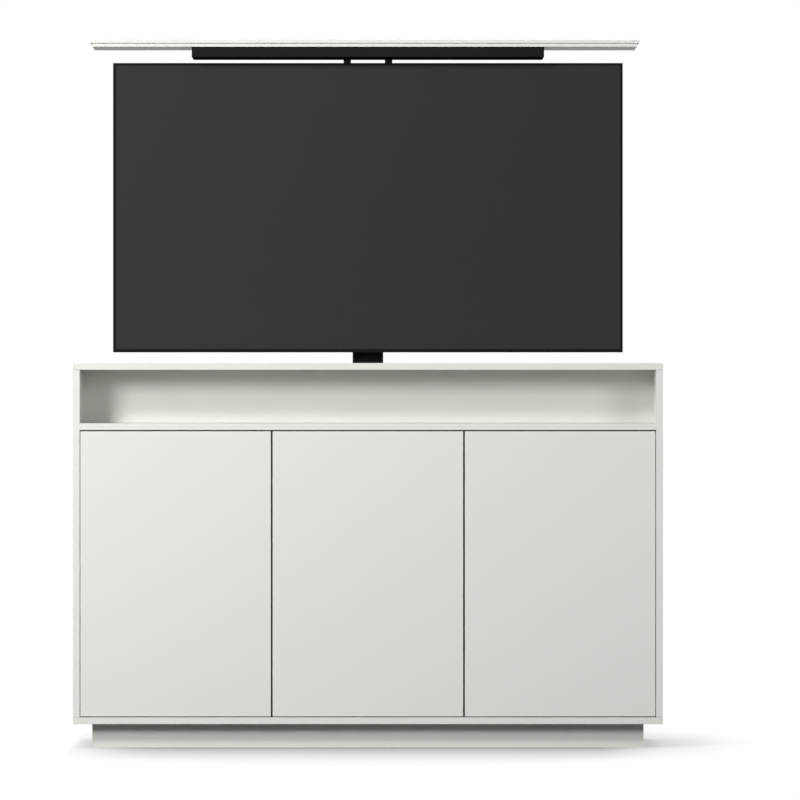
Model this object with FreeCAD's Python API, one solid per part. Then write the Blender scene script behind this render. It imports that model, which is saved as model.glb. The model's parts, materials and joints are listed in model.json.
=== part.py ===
"""TV lift cabinet: a three-door cabinet whose lid and flat screen rise on a telescopic column.

Frame: millimetres, +Z up, the doors face -Y, +X is to the right as seen from the front.
The origin is on the floor, at the middle of the cabinet's width and depth.
The screen, the middle tube and the lid are placed as they stand when the lift is fully up.
"""
import FreeCAD, Part
import math
import os

V = FreeCAD.Vector
X_AXIS = V(1, 0, 0)
Y_AXIS = V(0, 1, 0)
Z_AXIS = V(0, 0, 1)

# ---- carcass ----
cabinet_width = 1400.0
cabinet_depth = 430.0
board = 16.0                    # thickness of every carcass board
storage_height = 682.0          # clear height of the cupboards
niche_height = 127.0            # clear height of the open niche
niche_depth = 150.0             # clear depth of the niche and the cupboards
board_edge_round = 0.5

# ---- plinth ----
plinth_height = 58.0
plinth_board = 16.0
plinth_inset = 44.0             # behind the front and in from the sides
plinth_inset_back = 12.0
plinth_rail_spacing = 436.0     # between the two inner cross rails

# ---- rear panel ----
rear_thickness = 8.0
rear_recess = 2.0               # from the cabinet's back edge to the panel
rear_rebate = 8.0               # how far the panel enters the boards around it
rear_fit = 0.3
rear_screw_shares = (0.06, 0.35, 0.65, 0.94)    # of the height between bottom and top panels
vent_width = 90.0
vent_height = 6.0
vent_pitch_x = 130.0
vent_pitch_z = 18.0
vent_columns = 6
vent_rows = 3
vent_edge_distance = 60.0
grommet_radius = 30.0
grommet_wall = 3.0
grommet_flange = 4.0
grommet_x = 430.0
grommet_height = 76.0           # centre above the bottom panel

# ---- doors ----
door_thickness = 16.0
door_side_gap = 1.5
door_top_gap = 3.0
door_bottom_gap = 2.0
door_mid_gap = 4.0
door_edge_round = 1.0
partition_setback = 8.0         # behind the doors' rear faces

# ---- hinges ----
cup_radius = 17.5
cup_depth = 13.0
cup_wall = 0.6
cup_edge_distance = 3.5         # from the door's edge to the cup
cup_wing_width = 18.0
cup_wing_height = 60.0
cup_wing_thickness = 1.4
cup_wing_start = 12.0           # from the cup's centre line
hinge_end_distance = 100.0      # from the door's end to the hinge
pin_radius = 1.0
pin_edge_distance = 14.0        # from the door's edge to the pin
pin_fit = 0.05
knuckle_radius = 2.2
knuckle_gap = 0.2               # from the knuckle to the cup's floor
lug_width = 5.2
lug_thickness = 3.0
lug_gap = 0.5
arm_width = 10.0
arm_thickness = 1.6
arm_angle = 28.0                # of the arm's first leg, from the closed door's plane
arm_reach = 21.0                # from the pin to the bend, along the door
arm_return = 20.0               # from the pin to the return leg, into the cabinet
arm_bar_thickness = 6.0
arm_bar_width = 12.0
arm_bar_length = 50.0
plate_thickness = 4.0
plate_length = 44.0
plate_width = 16.0
plate_wing_length = 16.0
plate_wing_width = 44.0
plate_screw_spacing = 32.0
wood_screw_radius = 2.0
wood_screw_length = 12.0        # depth in the board
wood_screw_head_radius = 3.6
wood_screw_head = 1.5
screw_fit = 0.05

# ---- push-to-open latches ----
latch_size = 14.0
latch_length = 60.0
latch_setback = 9.0             # behind the doors' rear faces
latch_side_distance = 7.0       # from the partition
plunger_radius = 3.0
plunger_cap_radius = 4.0
plunger_cap_length = 3.0
plunger_length = 48.0
plunger_travel = 3.0
plunger_fit = 0.1
plunger_door_gap = 0.3

# ---- cupboard shelves ----
shelf_side_gap = 1.0
shelf_back_gap = 0.5
shelf_front_setback = 12.0      # behind the doors' rear faces
shelf_height_share = 0.5        # of the cupboard's height
shelf_pin_radius = 2.5
shelf_pin_depth = 7.5
shelf_pin_reach = 8.0
shelf_pin_inset = 25.0          # from the shelf's front and back edges

# ---- dowels ----
dowel_radius = 4.0
dowel_length = 30.0
dowel_face_depth = 11.0         # in the board whose face it enters
dowel_fit = 0.05
dowel_end_inset = 45.0
plinth_dowel_shares = (0.25, 0.85)              # of the plinth's half width

# ---- lid ----
lid_side_rim = 40.5             # from the cabinet's side to the lid, on average
lid_offset_x = -8.0             # of the lid's middle from the cabinet's
lid_depth = 180.0
lid_setback = 173.0             # behind the cabinet's front
lid_lip_thickness = 8.0
lid_lip = 5.0
lid_side_gap = 1.5
lid_bed_gap = 0.4
lid_edge_round = 1.5            # of the upper layer's edges, above and below

# ---- screen ----
screen_lid_margin = 46.0        # from the lid's end to the screen's side
screen_height = 696.5
screen_setback = 215.0          # behind the cabinet's front
screen_lift_gap = 26.5          # from the raised screen to the cabinet's top
bezel_depth = 14.0
bezel_side = 6.0
bezel_bottom = 8.0
bezel_wall = 2.5
bezel_lip = 1.2
bezel_edge_round = 0.6
glass_thickness = 2.5
glass_gap = 0.5
tray_depth = 9.8
tray_wall = 1.5
cover_edge_depth = 26.0         # from the screen's front to the thin part's back
cover_depth = 46.0              # from the screen's front to the thick part's back
cover_wall = 2.5
cover_bulge_side = 150.0
cover_bulge_bottom = 40.0
cover_bulge_top = 155.0
cover_chamfer = 10.0
boss_radius = 9.0
boss_hole_depth = 16.0
circuit_board_width = 150.0
circuit_board_height = 200.0
circuit_board_thickness = 1.6
circuit_board_spacing = 190.0
standoff_radius = 3.0
standoff_height = 2.5
standoff_inset = 8.0
component_height = 20.0
component_share = 0.35          # of the board's width and height

# ---- screen mount ----
hole_spacing_x = 400.0
hole_spacing_z = 200.0
arm_channel_width = 30.0
arm_channel_depth = 10.0
arm_channel_wall = 2.5
arm_channel_length = 380.0
crossbar_length = 460.0
crossbar_height = 30.0
crossbar_spacing = 300.0
frame_plate = 4.0
spine_width = 120.0
spine_below = 240.0             # below the middle of the screen
bolt_radius = 3.0
bolt_head_radius = 5.0
bolt_head = 4.0
bolt_socket_radius = 2.4
bolt_socket_depth = 2.4
bolt_length = 15.0
bolt_fit = 0.05

# ---- lid carrier and posts ----
carrier_width = 846.5
carrier_depth = 140.0
carrier_height = 25.0
carrier_wall = 2.0
carrier_flange = 22.0
carrier_gap = 12.5              # from the screen's top to the carrier
post_width = 18.0
post_depth = 20.0
post_spacing = 100.0
post_overlap = 108.0            # length beside the lift head
post_bolt_spacing = 60.0
post_bolt_bite = 9.0            # depth in the head's side wall
lid_screw_radius = 2.5
lid_screw_head_radius = 5.0
lid_screw_head = 1.6
lid_screw_bite = 11.0
lid_screw_columns = 4

# ---- column ----
spine_gap = 4.0                 # from the mounting frame's spine to the outer tube
middle_width = 74.0
middle_depth = 48.0
tube_wall = 2.5
stage_gap = 3.5                 # from one tube's inside to the next tube's outside
slide_fit = 0.2                 # of the plastic guides
outer_length = 610.0
middle_length = 610.0
head_top_gap = 8.5              # below the screen's top edge
head_height = 118.0
head_wall = 5.0
collar_depth = 40.0
collar_lip = 4.0
gear_case_height = 20.0
stage_rest_gap = 2.0            # between the stages when they are fully down
guide_flange = 6.0
middle_nut_height = 10.0
inner_nut_height = 30.0
spindle_radius = 7.0
spindle_fit = 0.1
spindle_seat = 10.0
spindle_overrun = 30.0
second_spindle_radius = 11.0
second_spindle_length = 470.0

# ---- drive and foot ----
base_width = 260.0
base_depth = 120.0
base_thickness = 6.0
base_bolt_inset = 18.0
base_bolt_radius = 4.0
base_bolt_head_radius = 6.5
base_bolt_head = 5.0
base_bolt_length = 18.0
gear_box_width = 58.0
gear_box_depth = 50.0
gear_box_height = 50.0
gear_neck_width = 24.0
motor_radius = 22.0
motor_length = 110.0
motor_cap_radius = 16.0
motor_cap_length = 12.0
control_width = 150.0
control_depth = 54.0
control_height = 42.0
control_wall = 2.5
control_x = 270.0
control_rear_gap = 10.0         # from the control box to the rear panel
inlet_width = 28.0
inlet_height = 21.0
inlet_depth = 16.0
inlet_socket_depth = 12.0
inlet_wall = 2.5
inlet_pin_radius = 1.6
inlet_pin_spacing = 7.0
inlet_pin_recess = 1.0          # from the socket's mouth to the pins' tips

# ---- levels and planes that follow ----
half_width = cabinet_width / 2
front_y = -cabinet_depth / 2
back_y = cabinet_depth / 2
inner_x = half_width - board
bottom_z0 = plinth_height
bottom_z1 = bottom_z0 + board
niche_shelf_z0 = bottom_z1 + storage_height
niche_shelf_z1 = niche_shelf_z0 + board
top_z0 = niche_shelf_z1 + niche_height
top_z1 = top_z0 + board
divider_y0 = front_y + niche_depth
divider_y1 = divider_y0 + board
rear_y1 = back_y - rear_recess
rear_y0 = rear_y1 - rear_thickness
rear_reach_x = inner_x + rear_rebate
rear_reach_z0 = bottom_z1 - rear_rebate
rear_reach_z1 = top_z0 + rear_rebate

door_back_y = front_y + door_thickness
door_z0 = bottom_z1 + door_bottom_gap
door_z1 = niche_shelf_z0 - door_top_gap
door_width = (2 * inner_x - 2 * door_side_gap - 2 * door_mid_gap) / 3
partition_x = (door_width + door_mid_gap) / 2
partition_y0 = door_back_y + partition_setback
shelf_z0 = bottom_z1 + storage_height * shelf_height_share

pin_y = door_back_y - cup_depth + cup_wall + knuckle_gap + knuckle_radius
hinge_levels = (door_z0 + hinge_end_distance, door_z1 - hinge_end_distance)

screen_y = front_y + screen_setback
screen_z0 = top_z1 + screen_lift_gap
screen_z1 = screen_z0 + screen_height
screen_mid_z = (screen_z0 + screen_z1) / 2
carrier_z0 = screen_z1 + carrier_gap
carrier_z1 = carrier_z0 + carrier_height
lid_z0 = carrier_z1
lid_z1 = lid_z0 + board
lid_width = cabinet_width - 2 * lid_side_rim
lid_y0 = front_y + lid_setback
lid_y1 = lid_y0 + lid_depth
screen_width = lid_width - 2 * screen_lid_margin
stroke = lid_z1 - top_z1
half_stroke = stroke / 2

channel_y0 = screen_y + cover_depth
crossbar_y0 = channel_y0 + arm_channel_depth
spine_y0 = crossbar_y0 + frame_plate
spine_y1 = spine_y0 + frame_plate

outer_width = middle_width + 2 * (stage_gap + tube_wall)
outer_depth = middle_depth + 2 * (stage_gap + tube_wall)
inner_width = middle_width - 2 * (stage_gap + tube_wall)
inner_depth = middle_depth - 2 * (stage_gap + tube_wall)
column_y = spine_y1 + spine_gap + outer_depth / 2
base_z1 = bottom_z1 + base_thickness
gear_case_z1 = base_z1 + gear_case_height
outer_z1 = base_z1 + outer_length
middle_z0 = gear_case_z1 + stage_rest_gap + guide_flange + half_stroke
middle_z1 = middle_z0 + middle_length
inner_z0 = middle_z0 + middle_nut_height + stage_rest_gap + guide_flange + half_stroke
head_z1 = screen_z1 - head_top_gap
head_z0 = head_z1 - head_height
head_half_width = (post_spacing - post_width) / 2
inner_z1 = head_z1
spindle_z0 = gear_case_z1 - spindle_seat
spindle_z1 = middle_z0 + middle_nut_height + spindle_overrun
second_spindle_z0 = middle_z0 + middle_nut_height
control_y = rear_y0 - control_rear_gap - control_depth / 2


# ---- shape helpers ----
def block(xa, xb, ya, yb, za, zb):
    """Box between two opposite corners, given in any order."""
    low = V(min(xa, xb), min(ya, yb), min(za, zb))
    return Part.makeBox(abs(xb - xa), abs(yb - ya), abs(zb - za), low)


def rod(radius, start, axis, length):
    """Round bar from a start point along an axis."""
    return Part.makeCylinder(radius, length, start, axis)


def fused(shapes):
    """One solid from shapes that meet."""
    body = shapes[0].fuse(shapes[1:]) if len(shapes) > 1 else shapes[0]
    return body.removeSplitter()


def cut_by(body, tools):
    """The body without the tools that reach it."""
    near = [tool for tool in tools if body.BoundBox.intersect(tool.BoundBox)]
    return body.cut(near) if near else body


def group(solids):
    """Several loose solids that share one node."""
    return Part.makeCompound(solids)


def round_edges(body, radius, chosen):
    """Fillet the straight edges that a test picks."""
    edges = [edge for edge in body.Edges if chosen(edge)]
    return body.makeFillet(radius, edges)


def on_plane_y(y):
    """Test for edges that lie in the plane of one y."""
    def chosen(edge):
        box = edge.BoundBox
        return abs(box.YMin - y) < 0.01 and abs(box.YMax - y) < 0.01
    return chosen


def tube(width, depth, z0, z1):
    """Rectangular steel tube around the column's centre line."""
    outer = column_block(width, depth, z0, z1)
    inner = column_block(width - 2 * tube_wall, depth - 2 * tube_wall, z0, z1)
    return outer.cut(inner)


def column_block(width, depth, z0, z1):
    """Box centred on the column's axis."""
    return block(-width / 2, width / 2, column_y - depth / 2, column_y + depth / 2, z0, z1)


def cap_bolt(radius, length, head_radius, head_height, seat, axis):
    """Socket-head bolt; the head stands on the seat point and the shank runs along the axis."""
    shank = rod(radius, seat, axis, length)
    head = rod(head_radius, seat - axis * head_height, axis, head_height)
    socket = rod(bolt_socket_radius, seat - axis * head_height, axis, bolt_socket_depth)
    return fused([shank, head]).cut(socket)


# ---- joints between boards ----
def dowel_places():
    """Each dowel as its joint point and the direction into the board whose face it enters."""
    down = Z_AXIS * -1
    places = []
    side_ys = (front_y + dowel_end_inset, 0.0, back_y - dowel_end_inset)
    shelf_ys = (front_y + dowel_end_inset, divider_y0 - dowel_end_inset)
    divider_y = (divider_y0 + divider_y1) / 2
    divider_zs = (bottom_z1 + dowel_end_inset, (bottom_z1 + top_z0) / 2, top_z0 - dowel_end_inset)
    side_x = half_width - board / 2
    for sign in (-1, 1):
        for y in side_ys:
            places.append((V(sign * side_x, y, bottom_z1), down))
            places.append((V(sign * side_x, y, top_z0), Z_AXIS))
        outwards = X_AXIS * sign
        for y in shelf_ys:
            places.append((V(sign * inner_x, y, (niche_shelf_z0 + niche_shelf_z1) / 2), outwards))
        for z in divider_zs:
            places.append((V(sign * inner_x, divider_y, z), outwards))
        for y in (partition_y0 + dowel_end_inset / 2, divider_y0 - dowel_end_inset / 2):
            places.append((V(sign * partition_x, y, bottom_z1), down))
            places.append((V(sign * partition_x, y, niche_shelf_z0), Z_AXIS))
        for share in plinth_dowel_shares:
            x = sign * share * (half_width - plinth_inset)
            places.append((V(x, front_y + plinth_inset + plinth_board / 2, bottom_z0), Z_AXIS))
            places.append((V(x, back_y - plinth_inset_back - plinth_board / 2, bottom_z0), Z_AXIS))
    return places


def carcass_dowels():
    """Beech dowels across every glued joint."""
    edge_depth = dowel_length - dowel_face_depth
    return [rod(dowel_radius, p - axis * edge_depth, axis, dowel_length) for p, axis in dowel_places()]


def dowel_holes():
    """The bores that the dowels sit in."""
    edge_depth = dowel_length - dowel_face_depth
    radius = dowel_radius + dowel_fit
    return [rod(radius, p - axis * edge_depth, axis, dowel_length) for p, axis in dowel_places()]


def rear_pocket():
    """The rebate in the boards around the rear panel."""
    return block(-rear_reach_x, rear_reach_x, rear_y0, back_y, rear_reach_z0, rear_reach_z1)


def rear_screw_places():
    """Seat points of the rear panel's screws, at both sides."""
    x = inner_x + rear_rebate / 2
    zs = [bottom_z1 + (top_z0 - bottom_z1) * share for share in rear_screw_shares]
    return [V(sign * x, rear_y1, z) for sign in (-1, 1) for z in zs]


def rear_panel_screws():
    """Pan-head screws through the rear panel into the side panels."""
    length = rear_thickness + wood_screw_length
    return [wood_screw(seat, Y_AXIS * -1, length) for seat in rear_screw_places()]


def wood_screw(seat, axis, length):
    """Flat-topped screw whose head stands on the seat point."""
    shank = rod(wood_screw_radius, seat, axis, length)
    head = rod(wood_screw_head_radius, seat - axis * wood_screw_head, axis, wood_screw_head)
    return fused([shank, head])


def screw_holes(seats, axis, length):
    """Pilot bores for wood screws."""
    return [rod(wood_screw_radius + screw_fit, seat, axis, length) for seat in seats]


# ---- carcass boards ----
def side_panel(sign):
    """Side panel between the bottom and top panels."""
    panel = block(sign * inner_x, sign * half_width, front_y, back_y, bottom_z1, top_z0)
    panel = round_edges(panel, board_edge_round, on_plane_y(front_y))
    holes = dowel_holes() + hinge_screw_holes() + shelf_pin_holes() + [rear_pocket()]
    holes += screw_holes(rear_screw_places(), Y_AXIS * -1, rear_thickness + wood_screw_length)
    return cut_by(panel, holes)


def bottom_panel():
    """Bottom panel over the full width."""
    panel = block(-half_width, half_width, front_y, back_y, bottom_z0, bottom_z1)
    panel = round_edges(panel, board_edge_round, on_plane_y(front_y))
    return cut_by(panel, dowel_holes() + base_bolt_holes() + [rear_pocket()])


def lid_opening():
    """The rebated opening that the lid drops into."""
    rebate_z = top_z1 - lid_lip_thickness - lid_bed_gap
    return [lid_block(-lid_side_gap, rebate_z, top_z1), lid_block(lid_lip - lid_side_gap, top_z0, top_z1)]


def top_panel():
    """Top panel with the lid's opening."""
    panel = block(-half_width, half_width, front_y, back_y, top_z0, top_z1)
    panel = round_edges(panel, board_edge_round, on_plane_y(front_y))
    return cut_by(panel, dowel_holes() + lid_opening() + [rear_pocket()])


def niche_shelf():
    """Floor of the niche and ceiling of the cupboards."""
    panel = block(-inner_x, inner_x, front_y, divider_y0, niche_shelf_z0, niche_shelf_z1)
    panel = round_edges(panel, board_edge_round, on_plane_y(front_y))
    return cut_by(panel, dowel_holes())


def bay_divider():
    """Back of the niche and the cupboards, and front wall of the lift bay."""
    panel = block(-inner_x, inner_x, divider_y0, divider_y1, bottom_z1, top_z0)
    return cut_by(panel, dowel_holes())


def partition(sign):
    """Upright board between two cupboards, behind the gap of their doors."""
    x = sign * partition_x
    panel = block(x - board / 2, x + board / 2, partition_y0, divider_y0, bottom_z1, niche_shelf_z0)
    return cut_by(panel, dowel_holes() + hinge_screw_holes() + shelf_pin_holes())


def plinth_long_board(y0):
    """Front or back board of the plinth."""
    reach = half_width - plinth_inset
    return cut_by(block(-reach, reach, y0, y0 + plinth_board, 0.0, plinth_height), dowel_holes())


def plinth_cross_boards():
    """The plinth's two sides and two inner rails."""
    y0 = front_y + plinth_inset + plinth_board
    y1 = back_y - plinth_inset_back - plinth_board
    side_x = half_width - plinth_inset - plinth_board / 2
    centres = (-side_x, -plinth_rail_spacing / 2, plinth_rail_spacing / 2, side_x)
    half = plinth_board / 2
    return group([block(x - half, x + half, y0, y1, 0.0, plinth_height) for x in centres])


# ---- rear panel ----
def vent_slots():
    """Rows of slots near the rear panel's top and bottom."""
    slots = []
    columns = [(i - (vent_columns - 1) / 2) * vent_pitch_x for i in range(vent_columns)]
    for row in range(vent_rows):
        offset = vent_edge_distance + row * vent_pitch_z
        for z in (bottom_z1 + offset, top_z0 - offset):
            for x in columns:
                half = vent_width / 2
                slots.append(block(x - half, x + half, rear_y0, rear_y1, z, z + vent_height))
    return slots


def grommet_centre():
    """Middle of the cable outlet, on the rear panel's inner face."""
    return V(grommet_x, rear_y0, bottom_z1 + grommet_height)


def rear_panel():
    """Thin rear panel with vents and a cable outlet."""
    x = rear_reach_x - rear_fit
    panel = block(-x, x, rear_y0, rear_y1, rear_reach_z0 + rear_fit, rear_reach_z1 - rear_fit)
    outlet = rod(grommet_radius + rear_fit, grommet_centre(), Y_AXIS, rear_thickness)
    length = rear_thickness + wood_screw_length
    holes = screw_holes(rear_screw_places(), Y_AXIS * -1, length)
    return cut_by(panel, vent_slots() + holes + [outlet])


def cable_grommet():
    """Flanged plastic ring in the cable outlet."""
    body = rod(grommet_radius, grommet_centre(), Y_AXIS, rear_thickness)
    flange_start = V(grommet_x, rear_y1, grommet_centre().z)
    flange = rod(grommet_radius + grommet_flange, flange_start, Y_AXIS, rear_recess)
    bore = rod(grommet_radius - grommet_wall, grommet_centre(), Y_AXIS, rear_thickness + rear_recess)
    return fused([body, flange]).cut(bore)


# ---- cupboard shelves ----
def cupboards():
    """Left and right clear faces of the three cupboards."""
    near = partition_x - board / 2
    far = partition_x + board / 2
    return ((-inner_x, -far), (-near, near), (far, inner_x))


def inner_shelves():
    """One loose shelf in each cupboard."""
    y0 = door_back_y + shelf_front_setback
    y1 = divider_y0 - shelf_back_gap
    shelves = []
    for x0, x1 in cupboards():
        shelves.append(block(x0 + shelf_side_gap, x1 - shelf_side_gap, y0, y1, shelf_z0, shelf_z0 + board))
    return group(shelves)


def shelf_pin_places():
    """Where each shelf pin leaves its board, and the direction into the cupboard."""
    z = shelf_z0 - shelf_pin_radius
    ys = (door_back_y + shelf_front_setback + shelf_pin_inset, divider_y0 - shelf_back_gap - shelf_pin_inset)
    places = []
    for x0, x1 in cupboards():
        for y in ys:
            places.append((V(x0, y, z), X_AXIS))
            places.append((V(x1, y, z), X_AXIS * -1))
    return places


def shelf_pins():
    """Metal pins that the shelves lie on."""
    length = shelf_pin_depth + shelf_pin_reach
    pins = [rod(shelf_pin_radius, p - axis * shelf_pin_depth, axis, length) for p, axis in shelf_pin_places()]
    return group(pins)


def shelf_pin_holes():
    """Blind bores for the shelf pins."""
    radius = shelf_pin_radius + dowel_fit
    return [rod(radius, p - axis * shelf_pin_depth, axis, shelf_pin_depth) for p, axis in shelf_pin_places()]


# ---- doors and hinges ----
def door_layout():
    """Each door's left edge, its hinge side (-1 left, 1 right) and the board face that carries its hinges."""
    pitch = door_width + door_mid_gap
    first = -inner_x + door_side_gap
    middle_face = -partition_x + board / 2
    return {
        "left": (first, -1, -inner_x),
        "middle": (first + pitch, -1, middle_face),
        "right": (first + 2 * pitch, 1, inner_x),
    }


def hinge_edge_x(name):
    """The door edge that its hinges are on."""
    left, side, _ = door_layout()[name]
    return left if side < 0 else left + door_width


def inward(name):
    """+1 where the door extends to +X of its hinges, else -1."""
    return -door_layout()[name][1]


def hinge_pin_x(name):
    """X of a door's hinge axis."""
    return hinge_edge_x(name) + inward(name) * pin_edge_distance


def cup_x(name):
    """X of the cups' centre line."""
    return hinge_edge_x(name) + inward(name) * (cup_edge_distance + cup_radius)


def door(name):
    """Flush door with two blind cup bores in its rear face."""
    left = door_layout()[name][0]
    panel = block(left, left + door_width, front_y, door_back_y, door_z0, door_z1)
    panel = round_edges(panel, door_edge_round, on_plane_y(front_y))
    bores = []
    for z in hinge_levels:
        bores.append(rod(cup_radius, V(cup_x(name), door_back_y - cup_depth, z), Y_AXIS, cup_depth))
    return cut_by(panel, bores)


def hinge_cup(name, z):
    """Pressed cup with two wings on the door and two lugs that hold the pin."""
    x = cup_x(name)
    floor_y = door_back_y - cup_depth
    shell = rod(cup_radius, V(x, floor_y, z), Y_AXIS, cup_depth)
    hollow = rod(cup_radius - cup_wall, V(x, floor_y + cup_wall, z), Y_AXIS, cup_depth)
    parts = [shell.cut(hollow)]
    half_wing = cup_wing_width / 2
    pin_x = hinge_pin_x(name)
    for sign in (-1, 1):
        wing_z = (z + sign * cup_wing_start, z + sign * cup_wing_height / 2)
        parts.append(block(x - half_wing, x + half_wing, door_back_y,
                           door_back_y + cup_wing_thickness, *wing_z))
        lug_z0 = z + sign * (arm_width / 2 + lug_gap)
        parts.append(block(pin_x - lug_width / 2, pin_x + lug_width / 2, floor_y + cup_wall / 2,
                           pin_y + lug_width / 2, lug_z0, lug_z0 + sign * lug_thickness))
    cup = fused(parts)
    reach = arm_width / 2 + lug_gap + lug_thickness
    return cup.cut(rod(pin_radius + pin_fit, V(pin_x, pin_y, z - reach), Z_AXIS, 2 * reach))


def hinge_cups(name):
    """Both cups of a door."""
    return group([hinge_cup(name, z) for z in hinge_levels])


def hinge_pins(name):
    """Both hinge pins of a door."""
    reach = arm_width / 2 + lug_gap + lug_thickness
    return group([rod(pin_radius, V(hinge_pin_x(name), pin_y, z - reach), Z_AXIS, 2 * reach)
                  for z in hinge_levels])


def hinge_arm(name, z):
    """Gooseneck arm: knuckle in the cup, a leg out of its mouth, and a bar along the board."""
    way = inward(name)
    pin = V(hinge_pin_x(name), pin_y, 0)
    face = door_layout()[name][2] + way * plate_thickness
    half = arm_width / 2
    thin = arm_thickness / 2
    leg_length = arm_reach / math.cos(math.radians(arm_angle))
    leg = Part.makeBox(leg_length, arm_thickness, arm_width, V(0, -thin, z - half))
    turn = arm_angle if way > 0 else 180 - arm_angle
    leg.rotate(V(0, 0, 0), Z_AXIS, turn)
    leg.translate(pin)
    leg_end_y = pin.y + arm_reach * math.tan(math.radians(arm_angle))
    bend_x = pin.x + way * arm_reach
    return_y = pin.y + arm_return
    bar_x = face + way * arm_bar_thickness
    parts = [
        rod(knuckle_radius, V(pin.x, pin.y, z - half), Z_AXIS, arm_width),
        leg,
        block(bend_x - thin, bend_x + thin, leg_end_y - arm_thickness, return_y + thin, z - half, z + half),
        block(bend_x + way * thin, face, return_y - thin, return_y + thin, z - half, z + half),
        block(face, bar_x, return_y - thin, return_y - thin + arm_bar_length,
              z - arm_bar_width / 2, z + arm_bar_width / 2),
    ]
    return fused(parts).cut(rod(pin_radius + pin_fit, V(pin.x, pin.y, z - half), Z_AXIS, arm_width))


def hinge_arms():
    """The six hinge arms."""
    return group([hinge_arm(name, z) for name in door_layout() for z in hinge_levels])


def plate_centre_y():
    """Y of the mounting plates' screw line."""
    return pin_y + arm_return - arm_thickness / 2 + plate_length / 2


def hinge_plate(name, z):
    """Cross-shaped mounting plate under an arm."""
    way = inward(name)
    face = door_layout()[name][2]
    top = face + way * plate_thickness
    y = plate_centre_y()
    spine = block(face, top, y - plate_length / 2, y + plate_length / 2,
                  z - plate_width / 2, z + plate_width / 2)
    wings = block(face, top, y - plate_wing_length / 2, y + plate_wing_length / 2,
                  z - plate_wing_width / 2, z + plate_wing_width / 2)
    return cut_by(fused([spine, wings]), hinge_screw_holes())


def hinge_plates():
    """The six mounting plates."""
    return group([hinge_plate(name, z) for name in door_layout() for z in hinge_levels])


def hinge_screw_places():
    """Seat point and direction of every mounting-plate screw."""
    places = []
    for name, (_, side, face) in door_layout().items():
        for z in hinge_levels:
            for sign in (-1, 1):
                seat_x = face + inward(name) * plate_thickness
                seat = V(seat_x, plate_centre_y(), z + sign * plate_screw_spacing / 2)
                places.append((seat, X_AXIS * side))
    return places


def hinge_plate_screws():
    """Screws of the mounting plates."""
    length = plate_thickness + wood_screw_length
    return group([wood_screw(seat, axis, length) for seat, axis in hinge_screw_places()])


def hinge_screw_holes():
    """Bores for the mounting-plate screws."""
    length = plate_thickness + wood_screw_length
    radius = wood_screw_radius + screw_fit
    return [rod(radius, seat, axis, length) for seat, axis in hinge_screw_places()]


# ---- push-to-open latches ----
def latch_x(name):
    """X of a door's latch, beside the partition at the door's free edge."""
    offset = board / 2 + latch_side_distance + latch_size / 2
    return {"left": -partition_x - offset, "middle": partition_x - offset, "right": partition_x + offset}[name]


def latch_z():
    """Height of the plungers."""
    return niche_shelf_z0 - latch_size / 2


def latch_body(name):
    """Latch housing under the niche shelf, bored for its plunger."""
    x = latch_x(name)
    half = latch_size / 2
    y0 = door_back_y + latch_setback
    body = block(x - half, x + half, y0, y0 + latch_length, niche_shelf_z0 - latch_size, niche_shelf_z0)
    bore_end = door_back_y + plunger_door_gap + plunger_length + 2 * plunger_travel
    bore = rod(plunger_radius + plunger_fit, V(x, y0, latch_z()), Y_AXIS, bore_end - y0)
    return body.cut(bore)


def latch_bodies():
    """The three latch housings."""
    return group([latch_body(name) for name in door_layout()])


def latch_plunger(name):
    """Sprung plunger just behind the closed door."""
    tip = V(latch_x(name), door_back_y + plunger_door_gap, latch_z())
    cap = rod(plunger_cap_radius, tip, Y_AXIS, plunger_cap_length)
    return fused([cap, rod(plunger_radius, tip, Y_AXIS, plunger_length)])


# ---- column foot and drive ----
def base_bolt_seats():
    """Where the four base bolts' heads stand."""
    x = base_width / 2 - base_bolt_inset
    y = base_depth / 2 - base_bolt_inset
    return [V(sx * x, column_y + sy * y, base_z1) for sx in (-1, 1) for sy in (-1, 1)]


def base_bolt_holes():
    """Bores for the base bolts."""
    radius = base_bolt_radius + bolt_fit
    return [rod(radius, seat, Z_AXIS * -1, base_bolt_length) for seat in base_bolt_seats()]


def lift_base_plate():
    """Steel foot of the column."""
    return cut_by(column_block(base_width, base_depth, bottom_z1, base_z1), base_bolt_holes())


def base_bolts():
    """The four base bolts."""
    return group([cap_bolt(base_bolt_radius, base_bolt_length, base_bolt_head_radius, base_bolt_head,
                           seat, Z_AXIS * -1) for seat in base_bolt_seats()])


def gear_neck(z0, z1, grow):
    """Passage of the gear case through the outer tube's right wall."""
    half = gear_neck_width / 2 + grow
    x0 = outer_width / 2 - tube_wall
    return block(x0, outer_width / 2, column_y - half, column_y + half, z0, z1 + grow)


def column_outer_tube():
    """Fixed outer stage, slotted at its foot for the gear case."""
    return tube(outer_width, outer_depth, base_z1, outer_z1).cut(gear_neck(base_z1, gear_case_z1, slide_fit))


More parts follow.
